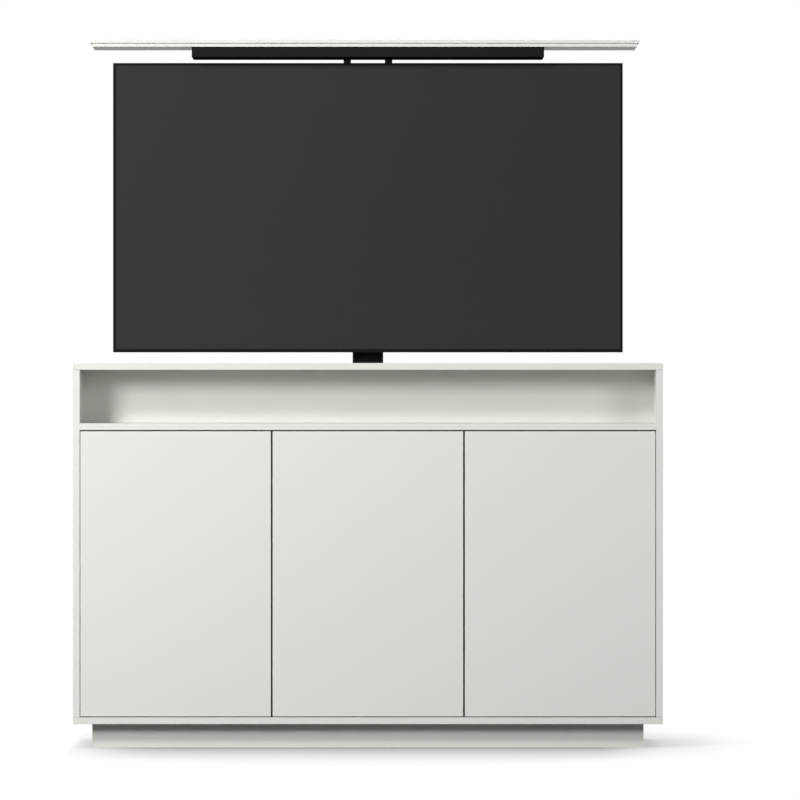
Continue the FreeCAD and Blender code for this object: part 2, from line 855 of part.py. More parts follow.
def gear_motor():
    """Angle gear under the spindle, gear box beside the tube, and an upright motor."""
    case_width = outer_width - 2 * tube_wall - 2 * slide_fit
    case_depth = outer_depth - 2 * tube_wall - 2 * slide_fit
    case = column_block(case_width, case_depth, base_z1, gear_case_z1)
    box_x0 = outer_width / 2
    half = gear_box_depth / 2
    box_z1 = base_z1 + gear_box_height
    box = block(box_x0, box_x0 + gear_box_width, column_y - half, column_y + half, base_z1, box_z1)
    neck = block(case_width / 2 - tube_wall, box_x0 + tube_wall, column_y - gear_neck_width / 2,
                 column_y + gear_neck_width / 2, base_z1, gear_case_z1)
    motor_foot = V(box_x0 + gear_box_width / 2, column_y, box_z1)
    motor = rod(motor_radius, motor_foot, Z_AXIS, motor_length)
    cap = rod(motor_cap_radius, motor_foot + Z_AXIS * motor_length, Z_AXIS, motor_cap_length)
    seat = rod(spindle_radius + spindle_fit, V(0, column_y, spindle_z0), Z_AXIS, spindle_seat)
    return fused([case, neck, box, motor, cap]).cut(seat)


def drive_spindle():
    """Splined spindle that turns in the gear case and drives both stages."""
    return rod(spindle_radius, V(0, column_y, spindle_z0), Z_AXIS, spindle_z1 - spindle_z0)


def guide_collar(width, depth, tube_top):
    """Plastic collar in the top of a tube of this size; the next stage slides in it."""
    bore_width = width - 2 * tube_wall - 2 * stage_gap + 2 * slide_fit
    bore_depth = depth - 2 * tube_wall - 2 * stage_gap + 2 * slide_fit
    sleeve = column_block(width - 2 * tube_wall, depth - 2 * tube_wall, tube_top - collar_depth, tube_top)
    lip = column_block(width, depth, tube_top, tube_top + collar_lip)
    bore = column_block(bore_width, bore_depth, tube_top - collar_depth, tube_top + collar_lip)
    return fused([sleeve, lip]).cut(bore)


def stage_nut(width, depth, tube_foot, height, bore_radius):
    """Nut in the foot of a tube, with a flange that guides the foot in the stage around it."""
    core = column_block(width - 2 * tube_wall, depth - 2 * tube_wall, tube_foot, tube_foot + height)
    flange_width = width + 2 * (stage_gap - slide_fit)
    flange_depth = depth + 2 * (stage_gap - slide_fit)
    flange = column_block(flange_width, flange_depth, tube_foot - guide_flange, tube_foot)
    bore = rod(bore_radius, V(0, column_y, tube_foot - guide_flange), Z_AXIS, guide_flange + height)
    return fused([core, flange]).cut(bore)


def second_spindle():
    """Hollow spindle on the middle stage's nut; it slides on the splined one and lifts the inner tube."""
    start = V(0, column_y, second_spindle_z0)
    outer = rod(second_spindle_radius, start, Z_AXIS, second_spindle_length)
    return outer.cut(rod(spindle_radius + spindle_fit, start, Z_AXIS, second_spindle_length))


def control_box():
    """Drive electronics' casing on the bay's floor, with a window for the mains inlet."""
    x0 = control_x - control_width / 2
    x1 = control_x + control_width / 2
    y0 = control_y - control_depth / 2
    y1 = control_y + control_depth / 2
    z1 = bottom_z1 + control_height
    w = control_wall
    casing = block(x0, x1, y0, y1, bottom_z1, z1)
    hollow = block(x0 + w, x1 - w, y0 + w, y1 - w, bottom_z1, z1 - w)
    return casing.cut([hollow, inlet_block(screw_fit)])


def inlet_block(grow):
    """Outline of the inlet in the control box's rear wall, grown all round."""
    y1 = control_y + control_depth / 2
    half_x = inlet_width / 2 + grow
    half_z = inlet_height / 2 + grow
    z = bottom_z1 + control_height / 2
    return block(control_x - half_x, control_x + half_x, y1 - inlet_depth, y1, z - half_z, z + half_z)


def power_inlet():
    """Recessed three-pin mains inlet."""
    y1 = control_y + control_depth / 2
    z = bottom_z1 + control_height / 2
    half_x = inlet_width / 2 - inlet_wall
    half_z = inlet_height / 2 - inlet_wall
    socket = block(control_x - half_x, control_x + half_x, y1 - inlet_socket_depth, y1, z - half_z, z + half_z)
    body = inlet_block(0.0).cut(socket)
    pins = []
    for step in (-1, 0, 1):
        foot = V(control_x + step * inlet_pin_spacing, y1 - inlet_depth, z)
        pins.append(rod(inlet_pin_radius, foot, Y_AXIS, inlet_depth - inlet_pin_recess))
    return fused([body] + pins)


# ---- lift head and screen mount ----
def lift_head():
    """Cast sleeve on the inner tube's top; the frame and the lid posts are bolted to it."""
    y1 = column_y + inner_depth / 2 + head_wall
    body = block(-head_half_width, head_half_width, spine_y1, y1, head_z0, head_z1)
    sleeve = column_block(inner_width, inner_depth, head_z0, head_z1)
    return cut_by(body.cut(sleeve), head_bolt_holes() + post_bolt_holes())


def mount_frame():
    """Spine plate and two crossbars."""
    spine = block(-spine_width / 2, spine_width / 2, spine_y0, spine_y1,
                  screen_mid_z - spine_below, head_z1)
    bars = []
    for sign in (-1, 1):
        z = screen_mid_z + sign * crossbar_spacing / 2
        bars.append(block(-crossbar_length / 2, crossbar_length / 2, crossbar_y0, spine_y0,
                          z - crossbar_height / 2, z + crossbar_height / 2))
    return cut_by(fused([spine] + bars), head_bolt_holes())


def tv_arms():
    """Two upright channels bolted to the screen's back and hooked on the crossbars."""
    arms = []
    for sign in (-1, 1):
        x = sign * hole_spacing_x / 2
        half = arm_channel_width / 2
        z0 = screen_mid_z - arm_channel_length / 2
        z1 = screen_mid_z + arm_channel_length / 2
        body = block(x - half, x + half, channel_y0, crossbar_y0, z0, z1)
        inner = half - arm_channel_wall
        hollow = block(x - inner, x + inner, channel_y0 + arm_channel_wall, crossbar_y0, z0, z1)
        arms.append(cut_by(body.cut(hollow), screen_bolt_holes()))
    return group(arms)


def screen_bolt_seats():
    """Seats of the bolts that hold the screen, on the arms' webs."""
    return [V(sx * hole_spacing_x / 2, channel_y0 + arm_channel_wall, screen_mid_z + sz * hole_spacing_z / 2)
            for sx in (-1, 1) for sz in (-1, 1)]


def head_bolt_seats():
    """Seats of the bolts that hold the frame on the head."""
    z_mid = (head_z0 + head_z1) / 2
    x = (inner_width / 2 + head_half_width) / 2
    return [V(sx * x, spine_y0, z_mid + sz * post_bolt_spacing / 2) for sx in (-1, 1) for sz in (-1, 1)]


def post_bolt_places():
    """Seats and directions of the bolts that hold the lid posts on the head."""
    z_mid = (head_z0 + head_z1) / 2
    y = post_y0() + post_depth / 2
    outer = (post_spacing + post_width) / 2
    return [(V(side * outer, y, z_mid + sz * post_bolt_spacing / 2), X_AXIS * -side)
            for side in (-1, 1) for sz in (-1, 1)]


def post_y0():
    """Front of the lid posts, level with the carrier's back part."""
    return lid_y0 + lid_lip + carrier_depth - carrier_wall - post_depth


def screen_bolt_holes():
    """Bores for the screen's bolts."""
    return [rod(bolt_radius + bolt_fit, seat, Y_AXIS * -1, boss_hole_depth + arm_channel_wall)
            for seat in screen_bolt_seats()]


def head_bolt_holes():
    """Bores for the frame's bolts."""
    return [rod(bolt_radius + bolt_fit, seat, Y_AXIS, bolt_length) for seat in head_bolt_seats()]


def post_bolt_holes():
    """Bores for the posts' bolts."""
    length = post_bolt_length()
    return [rod(bolt_radius + bolt_fit, seat, axis, length) for seat, axis in post_bolt_places()]


def post_bolt_length():
    """Through the post and into the head's side wall."""
    return post_width + post_bolt_bite


def mount_bolts():
    """Bolts of the screen, the frame and the posts."""
    bolts = [cap_bolt(bolt_radius, bolt_length, bolt_head_radius, bolt_head, seat, Y_AXIS * -1)
             for seat in screen_bolt_seats()]
    bolts += [cap_bolt(bolt_radius, bolt_length, bolt_head_radius, bolt_head, seat, Y_AXIS)
              for seat in head_bolt_seats()]
    bolts += [cap_bolt(bolt_radius, post_bolt_length(), bolt_head_radius, bolt_head, seat, axis)
              for seat, axis in post_bolt_places()]
    return group(bolts)


# ---- lid, its carrier and posts ----
def lid_posts():
    """Two short posts beside the head that carry the lid."""
    posts = []
    for sign in (-1, 1):
        x = sign * post_spacing / 2
        post = block(x - post_width / 2, x + post_width / 2, post_y0(), post_y0() + post_depth,
                     head_z1 - post_overlap, carrier_z0)
        posts.append(cut_by(post, post_bolt_holes()))
    return group(posts)


def carrier_y0():
    """Front of the lid carrier, flush with the lid's lower layer."""
    return lid_y0 + lid_lip


def lid_screw_seats():
    """Seats of the lid screws, under the carrier's floor."""
    seats = []
    pitch = (carrier_width - 2 * carrier_flange) / (lid_screw_columns - 1)
    ys = (carrier_y0() + carrier_flange / 2, carrier_y0() + carrier_depth - carrier_flange / 2)
    for i in range(lid_screw_columns):
        x = -carrier_width / 2 + carrier_flange + i * pitch
        for y in ys:
            seats.append(V(x, y, carrier_z0 + carrier_wall))
    return seats


def lid_screw_holes():
    """Bores for the lid screws."""
    length = carrier_height - carrier_wall + lid_screw_bite
    return [rod(lid_screw_radius + screw_fit, seat, Z_AXIS, length) for seat in lid_screw_seats()]


def lid_screws():
    """Screws from the carrier's hollow up into the lid."""
    screws = []
    for seat in lid_screw_seats():
        start = seat + Z_AXIS * (carrier_height - 2 * carrier_wall)
        head = rod(lid_screw_head_radius, start - Z_AXIS * lid_screw_head, Z_AXIS, lid_screw_head)
        shank = rod(lid_screw_radius, start, Z_AXIS, carrier_wall + lid_screw_bite)
        screws.append(fused([head, shank]))
    return group(screws)


def lid_carrier():
    """Shallow steel box under the lid, with inward flanges at its top."""
    half = carrier_width / 2
    y0 = carrier_y0()
    y1 = y0 + carrier_depth
    w = carrier_wall
    f = carrier_flange
    body = block(-half, half, y0, y1, carrier_z0, carrier_z1)
    hollow = block(-half + w, half - w, y0 + w, y1 - w, carrier_z0 + w, carrier_z1 - w)
    window = block(-half + f, half - f, y0 + f, y1 - f, carrier_z1 - w, carrier_z1)
    return cut_by(body.cut([hollow, window]), lid_screw_holes())


def lid_block(inset, z0, z1):
    """Box over the lid's outline, in from its edges; a negative inset grows it."""
    half = lid_width / 2 - inset
    return block(lid_offset_x - half, lid_offset_x + half, lid_y0 + inset, lid_y1 - inset, z0, z1)


def lid_board():
    """Lid with a rounded upper layer and a rebated lower edge all round."""
    split_z = lid_z1 - lid_lip_thickness
    upper = lid_block(0.0, split_z, lid_z1)
    upper = upper.makeFillet(lid_edge_round, [e for e in upper.Edges if e.BoundBox.ZLength < 0.01])
    return cut_by(fused([upper, lid_block(lid_lip, lid_z0, split_z)]), lid_screw_holes())


# ---- screen ----
def screen_block(inset_side, inset_bottom, y0, y1):
    """Box over the screen's face, in from its edges, between two depths behind its front."""
    half = screen_width / 2 - inset_side
    return block(-half, half, screen_y + y0, screen_y + y1, screen_z0 + inset_bottom, screen_z1 - inset_side)


def tv_bezel():
    """Thin frame round the screen with a narrow front lip."""
    body = screen_block(0.0, 0.0, 0.0, bezel_depth)
    body = round_edges(body, bezel_edge_round, on_plane_y(screen_y))
    window = screen_block(bezel_side, bezel_bottom, 0.0, bezel_lip)
    pocket = screen_block(bezel_wall, bezel_wall, bezel_lip, bezel_depth)
    return body.cut([window, pocket])


def tv_screen():
    """Matt front panel behind the bezel's lip."""
    inset = bezel_wall + glass_gap
    return screen_block(inset, inset, bezel_lip, bezel_lip + glass_thickness)


def tv_backlight_tray():
    """Shallow metal pan behind the front panel."""
    inset = bezel_wall + glass_gap
    y0 = bezel_lip + glass_thickness
    pan = screen_block(inset, inset, y0, y0 + tray_depth)
    return pan.cut(screen_block(inset + tray_wall, inset + tray_wall, y0, y0 + tray_depth - tray_wall))


def cover_bulge(shrink):
    """The thick middle of the back cover, or its hollow, as a chamfered block."""
    half = screen_width / 2 - cover_bulge_side - shrink
    z0 = screen_z0 + cover_bulge_bottom + shrink
    z1 = screen_z1 - cover_bulge_top - shrink
    y1 = screen_y + cover_depth - shrink
    bulge = block(-half, half, screen_y + bezel_depth, y1, z0, z1)
    rim = [edge for edge in bulge.Edges if edge.BoundBox.YMin > y1 - 0.01]
    return bulge.makeChamfer(cover_chamfer, rim)


def tray_back_y():
    """Depth of the backlight tray's rear face."""
    return screen_y + bezel_lip + glass_thickness + tray_depth


def tv_back_cover():
    """Moulded shell with a thick middle and four threaded bosses for the arms."""
    slab = screen_block(0.0, 0.0, bezel_depth, cover_edge_depth)
    rim = [edge for edge in slab.Edges if edge.BoundBox.YMin > screen_y + cover_edge_depth - 0.01]
    slab = slab.makeChamfer(cover_chamfer / 2, rim)
    inner = screen_block(cover_wall, cover_wall, bezel_depth, cover_edge_depth - cover_wall)
    inner_rim = [e for e in inner.Edges if e.BoundBox.YMin > screen_y + cover_edge_depth - cover_wall - 0.01]
    inner = inner.makeChamfer(cover_chamfer / 2, inner_rim)
    shell = fused([slab, cover_bulge(0.0)]).cut([inner, cover_bulge(cover_wall)])
    bosses = []
    for seat in screen_bolt_seats():
        start = V(seat.x, tray_back_y(), seat.z)
        length = screen_y + cover_depth - cover_wall / 2 - tray_back_y()
        bosses.append(rod(boss_radius, start, Y_AXIS, length))
    return cut_by(fused([shell] + bosses), screen_bolt_holes())


def circuit_board(x, with_ports):
    """Board on four standoffs with one block of components, and the ports' block where it has them."""
    half_x = circuit_board_width / 2
    half_z = circuit_board_height / 2
    y0 = tray_back_y() + standoff_height
    y1 = y0 + circuit_board_thickness
    parts = [block(x - half_x, x + half_x, y0, y1, screen_mid_z - half_z, screen_mid_z + half_z)]
    for sx in (-1, 1):
        for sz in (-1, 1):
            foot = V(x + sx * (half_x - standoff_inset), tray_back_y(),
                     screen_mid_z + sz * (half_z - standoff_inset))
            parts.append(rod(standoff_radius, foot, Y_AXIS, standoff_height))
    share_x = half_x * component_share
    share_z = half_z * component_share
    parts.append(block(x - share_x, x + share_x, y1, y1 + component_height,
                       screen_mid_z - share_z, screen_mid_z + share_z))
    if with_ports:
        parts.append(block(x + half_x - 2 * standoff_inset, x + half_x, y1, y1 + component_height,
                           screen_mid_z - 2 * share_z, screen_mid_z + 2 * share_z))
    return fused(parts)


def tv_circuit_boards():
    """Power board and main board."""
    x = circuit_board_spacing / 2
    return group([circuit_board(-x, False), circuit_board(x, True)])


# ---- assembly ----
def nodes():
    """Every node's name and shape."""
    shapes = {
        "top_panel": top_panel(),
        "bottom_panel": bottom_panel(),
        "side_panel_left": side_panel(-1),
        "side_panel_right": side_panel(1),
        "niche_shelf": niche_shelf(),
        "bay_divider": bay_divider(),
        "partition_left": partition(-1),
        "partition_right": partition(1),
        "rear_panel": rear_panel(),
        "rear_panel_screws": group(rear_panel_screws()),
        "cable_grommet": cable_grommet(),
        "plinth_front": plinth_long_board(front_y + plinth_inset),
        "plinth_back": plinth_long_board(back_y - plinth_inset_back - plinth_board),
        "plinth_cross_boards": plinth_cross_boards(),
        "carcass_dowels": group(carcass_dowels()),
        "inner_shelves": inner_shelves(),
        "shelf_pins": shelf_pins(),
        "hinge_arms": hinge_arms(),
        "hinge_plates": hinge_plates(),
        "hinge_plate_screws": hinge_plate_screws(),
        "latch_bodies": latch_bodies(),
        "lift_base_plate": lift_base_plate(),
        "base_bolts": base_bolts(),
        "column_outer_tube": column_outer_tube(),
        "outer_guide_collar": guide_collar(outer_width, outer_depth, outer_z1),
        "gear_motor": gear_motor(),
        "drive_spindle": drive_spindle(),
        "control_box": control_box(),
        "power_inlet": power_inlet(),
        "column_middle_tube": tube(middle_width, middle_depth, middle_z0, middle_z1),
        "middle_guide_collar": guide_collar(middle_width, middle_depth, middle_z1),
        "middle_nut": stage_nut(middle_width, middle_depth, middle_z0, middle_nut_height,
                                spindle_radius + spindle_fit),
        "second_spindle": second_spindle(),
        "column_inner_tube": tube(inner_width, inner_depth, inner_z0, inner_z1),
        "inner_nut": stage_nut(inner_width, inner_depth, inner_z0, inner_nut_height,
                               second_spindle_radius + spindle_fit),
        "lift_head": lift_head(),
        "mount_frame": mount_frame(),
        "tv_arms": tv_arms(),
        "mount_bolts": mount_bolts(),
        "lid_posts": lid_posts(),
        "lid_carrier": lid_carrier(),
        "lid_screws": lid_screws(),
        "lid_board": lid_board(),
        "tv_bezel": tv_bezel(),
        "tv_screen": tv_screen(),
        "tv_backlight_tray": tv_backlight_tray(),
        "tv_back_cover": tv_back_cover(),
        "tv_circuit_boards": tv_circuit_boards(),
    }
    for name in door_layout():
        shapes["door_" + name] = door(name)
        shapes["hinge_cups_" + name] = hinge_cups(name)
        shapes["hinge_pins_" + name] = hinge_pins(name)
        shapes["latch_plunger_" + name] = latch_plunger(name)
    return shapes


os.makedirs("parts", exist_ok=True)
for node_name, shape in nodes().items():
    shape.exportStep("parts/" + node_name + ".step")
    print(node_name, len(shape.Solids), "solids", round(shape.Volume / 1000), "cm3", shape.isValid())
print("stroke", stroke, "cabinet height", top_z1)
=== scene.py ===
"""Dressed model of a three-door cabinet with a screen lift: finishes, fine parts, light and camera."""

import json
import math

import bmesh
import bpy
from bpy.props import FloatProperty, FloatVectorProperty, PointerProperty
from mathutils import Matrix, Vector


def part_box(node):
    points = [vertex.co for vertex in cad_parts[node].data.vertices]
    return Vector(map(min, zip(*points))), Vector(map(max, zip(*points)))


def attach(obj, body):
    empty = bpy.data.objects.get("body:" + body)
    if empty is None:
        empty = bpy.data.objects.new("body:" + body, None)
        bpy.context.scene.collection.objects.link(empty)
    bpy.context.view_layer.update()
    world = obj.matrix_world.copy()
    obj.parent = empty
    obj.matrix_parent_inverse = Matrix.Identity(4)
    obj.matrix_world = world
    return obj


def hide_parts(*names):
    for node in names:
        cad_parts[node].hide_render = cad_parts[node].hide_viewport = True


bl_info = {
    "name": "Screen lift cabinet",
    "version": (1, 0, 0),
    "blender": (4, 5, 0),
    "location": "View3D > Sidebar > Cabinet",
    "description": "Builds the finishes, fine parts and stage of a cabinet with a rising screen",
    "category": "Object",
}

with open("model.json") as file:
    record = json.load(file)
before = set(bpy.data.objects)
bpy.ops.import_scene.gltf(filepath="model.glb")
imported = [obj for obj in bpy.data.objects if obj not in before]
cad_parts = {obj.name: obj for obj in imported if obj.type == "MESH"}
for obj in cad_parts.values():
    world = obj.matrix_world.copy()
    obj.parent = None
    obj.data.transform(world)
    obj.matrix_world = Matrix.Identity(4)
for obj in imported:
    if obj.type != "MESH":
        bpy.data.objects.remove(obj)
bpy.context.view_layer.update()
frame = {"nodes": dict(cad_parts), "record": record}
NODES = frame["nodes"]
BODIES = {node: body for body, nodes in frame["record"]["behaviour"]["bodies"].items() for node in nodes}
SLOTS = {part["node"]: part["material_slot"] for part in frame["record"]["subparts"]}
FRONT_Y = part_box("bottom_panel")[0].y
SIDE_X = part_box("bottom_panel")[1].x
SCREEN_LOW, SCREEN_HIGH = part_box("tv_bezel")
SCREEN_MIDDLE = (SCREEN_LOW.z + SCREEN_HIGH.z) / 2

MM = 0.001
TOUCH = 1e-5                        # distance below which two places are one
ALIGNED = 0.999                     # part of a length or normal along an axis that counts as all of it
FINE_SIDES = 48                     # of the rods whose outline shows
X, Y, Z = 0, 1, 2
SIDES = (-1, 1)
DOORS = ("left", "middle", "right")


# ---------------------------------------------------------------- settings
def colour_setting(name, description, default):
    """Colour that a user can set."""
    return FloatVectorProperty(name=name, description=description, subtype="COLOR", size=3,
                               min=0.0, max=1.0, default=default)


def number_setting(name, description, default, **limits):
    """Number that a user can set."""
    return FloatProperty(name=name, description=description, default=default, **limits)


class CabinetFinish(bpy.types.PropertyGroup):
    """Colours and surface qualities of the cabinet."""
    lacquer_colour: colour_setting("Lacquer", "Colour of the lacquered boards", (0.745, 0.752, 0.712))
    lacquer_roughness: number_setting("Lacquer roughness", "How matt the lacquer is", 0.46, min=0.0, max=1.0)
    steel_colour: colour_setting("Powder coat", "Colour of the coated steel parts", (0.0155, 0.0155, 0.016))
    screen_colour: colour_setting("Screen", "Colour of the unlit screen", (0.0242, 0.0242, 0.0244))
    bezel_colour: colour_setting("Bezel", "Colour of the screen's frame", (0.007, 0.007, 0.0075))


class CabinetStage(bpy.types.PropertyGroup):
    """Camera, lamps and floor."""
    camera_distance: number_setting("Camera distance", "From the doors to the camera", 15.0, unit="LENGTH")
    camera_height: number_setting("Camera height", "Above the floor", 0.8624, unit="LENGTH")
    view_width: number_setting("View width", "Width of the picture at the doors", 1.8986, unit="LENGTH")
    shift_x: number_setting("Shift across", "Sideways shift of the lens", 0.0401)
    shift_y: number_setting("Shift up", "Upright shift of the lens", -0.0185)
    high_power: number_setting("High lamp", "Power of the lamp high on the left", 226.0, unit="POWER")
    key_power: number_setting("Key lamp", "Power of the low lamp on the left", 116.0, unit="POWER")
    fill_power: number_setting("Fill lamp", "Power of the lamp on the right", 62.0, unit="POWER")
    rear_power: number_setting("Rear lamp", "Power of the lamp behind the cabinet", 200.0, unit="POWER")
    ambient: number_setting("Ambient", "Strength of the light from all round", 0.0, min=0.0)
    floor_colour: colour_setting("Floor", "Colour of the floor", (0.9, 0.9, 0.9))


# ---------------------------------------------------------------- modelling helpers
HEAD_DOME = 0.55                    # of a screw head's height; so are the next two
RECESS_FLOOR = 0.45
SHANK_TOP = 0.3
RECESS_REACH = 0.55                 # of a screw head's radius
RECESS_HALF = 0.13


def leave_edit_mode():
    """Back to object mode with nothing selected."""
    if bpy.context.object and bpy.context.object.mode != "OBJECT":
        bpy.ops.object.mode_set(mode="OBJECT")
    bpy.ops.object.select_all(action="DESELECT")


def activate(obj):
    """Select only this object and make it the active one."""
    leave_edit_mode()
    obj.select_set(True)
    bpy.context.view_layer.objects.active = obj


def settle():
    """Move the active object's place, turn and scale into its mesh."""
    bpy.ops.object.transform_apply(location=True, rotation=True, scale=True)
    return bpy.context.object


def add_block(low, high):
    """Block between two opposite corners."""
    low, high = Vector(low), Vector(high)
    leave_edit_mode()
    bpy.ops.mesh.primitive_cube_add(size=1.0, location=(low + high) / 2)
    bpy.context.object.scale = high - low
    return settle()


def add_rod(radius, centre, axis, start, end, sides=32):
    """Round bar along an axis, round a centre line, from one place on the axis to another."""
    foot, top = Vector(centre), Vector(centre)
    foot[axis], top[axis] = start, end
    leave_edit_mode()
    bpy.ops.mesh.primitive_cone_add(
        vertices=sides, radius1=radius, radius2=radius, depth=(top - foot).length, location=(foot + top) / 2,
        rotation=(top - foot).to_track_quat("Z", "Y").to_euler())
    return settle()


def pick(obj, kind, test=lambda part: True):
    """Go into edit mode with only the faces or edges selected that pass a test."""
    activate(obj)
    bpy.ops.object.mode_set(mode="EDIT")
    bpy.ops.mesh.select_mode(type=kind)
    bpy.ops.mesh.select_all(action="DESELECT")
    mesh = bmesh.from_edit_mesh(obj.data)
    for part in (mesh.faces if kind == "FACE" else mesh.edges):
        if test(part):
            part.select_set(True)
    mesh.select_flush_mode()
    bmesh.update_edit_mesh(obj.data)


def runs_along(axis):
    """Test for edges parallel to an axis."""
    def test(edge):
        span = edge.verts[1].co - edge.verts[0].co
        return abs(span[axis]) > ALIGNED * span.length
    return test


def lies_at(axis, value, parallel=None):
    """Test for edges in one plane across an axis, and if asked only those parallel to another axis."""
    def test(edge):
        flat = all(abs(vert.co[axis] - value) < TOUCH for vert in edge.verts)
        return flat and (parallel is None or runs_along(parallel)(edge))
    return test


def bevel(obj, test, width, steps=3):
    """Round the edges that pass a test."""
    pick(obj, "EDGE", test)
    bpy.ops.mesh.bevel(offset=width, segments=steps, profile=0.5, affect="EDGES")
    leave_edit_mode()


def delete_faces(obj, test):
    """Open a block where its faces pass a test."""
    pick(obj, "FACE", test)
    bpy.ops.mesh.delete(type="FACE")
    leave_edit_mode()


def face_outwards(obj):
    """Turn the front of every face outwards."""
    pick(obj, "FACE")
    bpy.ops.mesh.normals_make_consistent(inside=False)
    leave_edit_mode()


def apply_modifier(obj, kind, **settings):
    """Add a modifier, set it and apply it."""
    activate(obj)
    modifier = obj.modifiers.new(kind.lower(), kind)
    for key, value in settings.items():
        setattr(modifier, key, value)
    bpy.ops.object.modifier_apply(modifier=modifier.name)


def give_wall(obj, thickness, offset=-1.0):
    """Turn a skin into a wall, inwards unless the offset says otherwise."""
    apply_modifier(obj, "SOLIDIFY", thickness=thickness, offset=offset, use_even_offset=True)


def rows_of(obj, count, step, **settings):
    """Repeat a piece in a straight row."""
    apply_modifier(obj, "ARRAY", count=count, use_relative_offset=False, use_constant_offset=True,
                   constant_offset_displace=step, **settings)
    return obj


def discard(*pieces):
    """Clear away pieces that only served to make others."""
    for piece in pieces:
        bpy.data.objects.remove(piece, do_unlink=True)


def joined(pieces):
    """Several pieces as one object."""
    leave_edit_mode()
    for piece in pieces:
        piece.select_set(True)
    bpy.context.view_layer.objects.active = pieces[0]
    bpy.ops.object.join()
    return pieces[0]


def combined(obj, others, operation):
    """Boolean of an object with other pieces, which are used up."""
    tool = joined(others)
    apply_modifier(obj, "BOOLEAN", operation=operation, object=tool, solver="EXACT")
    discard(tool)
    return obj


def cut_out(obj, *others):
    """Take other pieces' shapes out of an object."""
    return combined(obj, others, "DIFFERENCE")


def weld(obj, *others):
    """Make one skin of an object and the pieces that reach into it."""
    return combined(obj, others, "UNION")


def duplicate(obj):
    """Copy with its own mesh."""
    activate(obj)
    bpy.ops.object.duplicate()
    return bpy.context.object


def copy_of(obj, shift=(0, 0, 0), flip=None):
    """Copy that is shifted, and mirrored across an axis if asked."""
    twin = duplicate(obj)
    if flip is not None:
        twin.scale[flip] = -1
        settle()
        face_outwards(twin)
    twin.location = Vector(shift)
    activate(twin)
    return settle()


def copy_along(obj, point, axis, sign=1):
    """Copy of a piece that was modelled at the origin along +Z, at a point and along an axis."""
    twin = duplicate(obj)
    direction = Vector((0, 0, 0))
    direction[axis] = sign
    twin.rotation_euler = direction.to_track_quat("Z", "Y").to_euler()
    twin.location = point
    activate(twin)
    return settle()


def soften(obj, width=0, steps=2, angle=35):
    """Break every sharp edge by a small round, if it has a width, and shade the piece smoothly."""
    if width:
        apply_modifier(obj, "BEVEL", width=width, segments=steps, limit_method="ANGLE",
                       angle_limit=math.radians(angle), use_clamp_overlap=True)
    activate(obj)
    bpy.ops.object.shade_smooth_by_angle(angle=math.radians(angle))
    return obj


def rounded_block(low, high, radius, axis=Z, steps=5):
    """Block whose four edges along one axis are rounded."""
    obj = add_block(low, high)
    bevel(obj, runs_along(axis), radius, steps)
    return obj


def slot_cutter(low, high, axis, steps=4):
    """Stadium-ended cutter whose round runs across one axis."""
    width = min(high[i] - low[i] for i in (X, Y, Z) if i != axis)
    return rounded_block(low, high, width * 0.4999, axis, steps)


def cross_screw(radius, height, shank_radius, length):
    """Screw at the origin: a low domed head with a cross recess above, its shank below."""
    head = add_rod(radius, (0, 0, 0), Z, 0, height, sides=24)
    bevel(head, lies_at(Z, height), height * HEAD_DOME, 2)
    reach, half = radius * RECESS_REACH, radius * RECESS_HALF
    cut_out(head, *(add_block((-x, -y, height * RECESS_FLOOR), (x, y, height + MM))
                    for x, y in ((reach, half), (half, reach))))
    shank = add_rod(shank_radius, (0, 0, 0), Z, -length, height * SHANK_TOP, sides=12)
    return soften(joined([head, shank]))


def screws_at(places, axis, *sizes):
    """Screws of one size (that of cross_screw), each at a point and towards one side of an axis."""
    master = cross_screw(*sizes)
    screws = [copy_along(master, point, axis, sign) for point, sign in places]
    discard(master)
    return screws


def bent_strip(points, z0, z1, fold, thickness):
    """Upright strip of sheet along a path seen from above, with its folds rounded."""
    spots = [Vector((x, y, (z0 + z1) / 2)) for x, y in points]
    span = spots[1] - spots[0]
    leave_edit_mode()
    bpy.ops.mesh.primitive_plane_add(size=1.0, location=(spots[0] + spots[1]) / 2,
                                     rotation=(math.pi / 2, 0, math.atan2(span.y, span.x)))
    bpy.context.object.scale = (span.length, z1 - z0, 1)
    strip = settle()

    def at(spot):
        return lambda edge: all((vert.co.xy - spot.xy).length < TOUCH for vert in edge.verts)
    for here, following in zip(spots[1:], spots[2:]):
        pick(strip, "EDGE", at(here))
        bpy.ops.mesh.extrude_region_move(TRANSFORM_OT_translate={"value": following - here})
    for spot in spots[1:-1]:
        bevel(strip, at(spot), fold)
    face_outwards(strip)
    give_wall(strip, thickness, 0.0)
    return strip


def loose_boxes(name):
    """Low and high corner of each loose solid of a CAD node, from left to right and upwards."""
    node = NODES[name]
    mesh = bmesh.new()
    mesh.from_mesh(node.data)
    mesh.transform(node.matrix_world)
    bmesh.ops.remove_doubles(mesh, verts=mesh.verts, dist=TOUCH / 10)
    waiting = set(mesh.verts)
    boxes = []
    while waiting:
        island = []
        reached = [waiting.pop()]
        while reached:
            vert = reached.pop()
            island.append(vert.co.copy())
            fresh = {edge.other_vert(vert) for edge in vert.link_edges} & waiting
            waiting -= fresh
            reached.extend(fresh)
        boxes.append(tuple(Vector(pick_end(co[i] for co in island) for i in (X, Y, Z))
                           for pick_end in (min, max)))
    mesh.free()
    return sorted(boxes, key=lambda box: (round(box[0].x, 4), round(box[0].z, 4), round(box[0].y, 4)))


def nearest(boxes, point):
    """The box whose middle is closest to a point."""
    return min(boxes, key=lambda box: ((box[0] + box[1]) / 2 - point).length)


def finish_piece(obj, node, finish=None):
    """Hang a piece on the body of the node it stands for, with its slot and finish."""
    obj.name = node + "_model"
    obj.data.materials.clear()
    obj.data.materials.append(finish_of(finish or SLOTS[node]))
    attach(obj, BODIES[node])
    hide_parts(node)


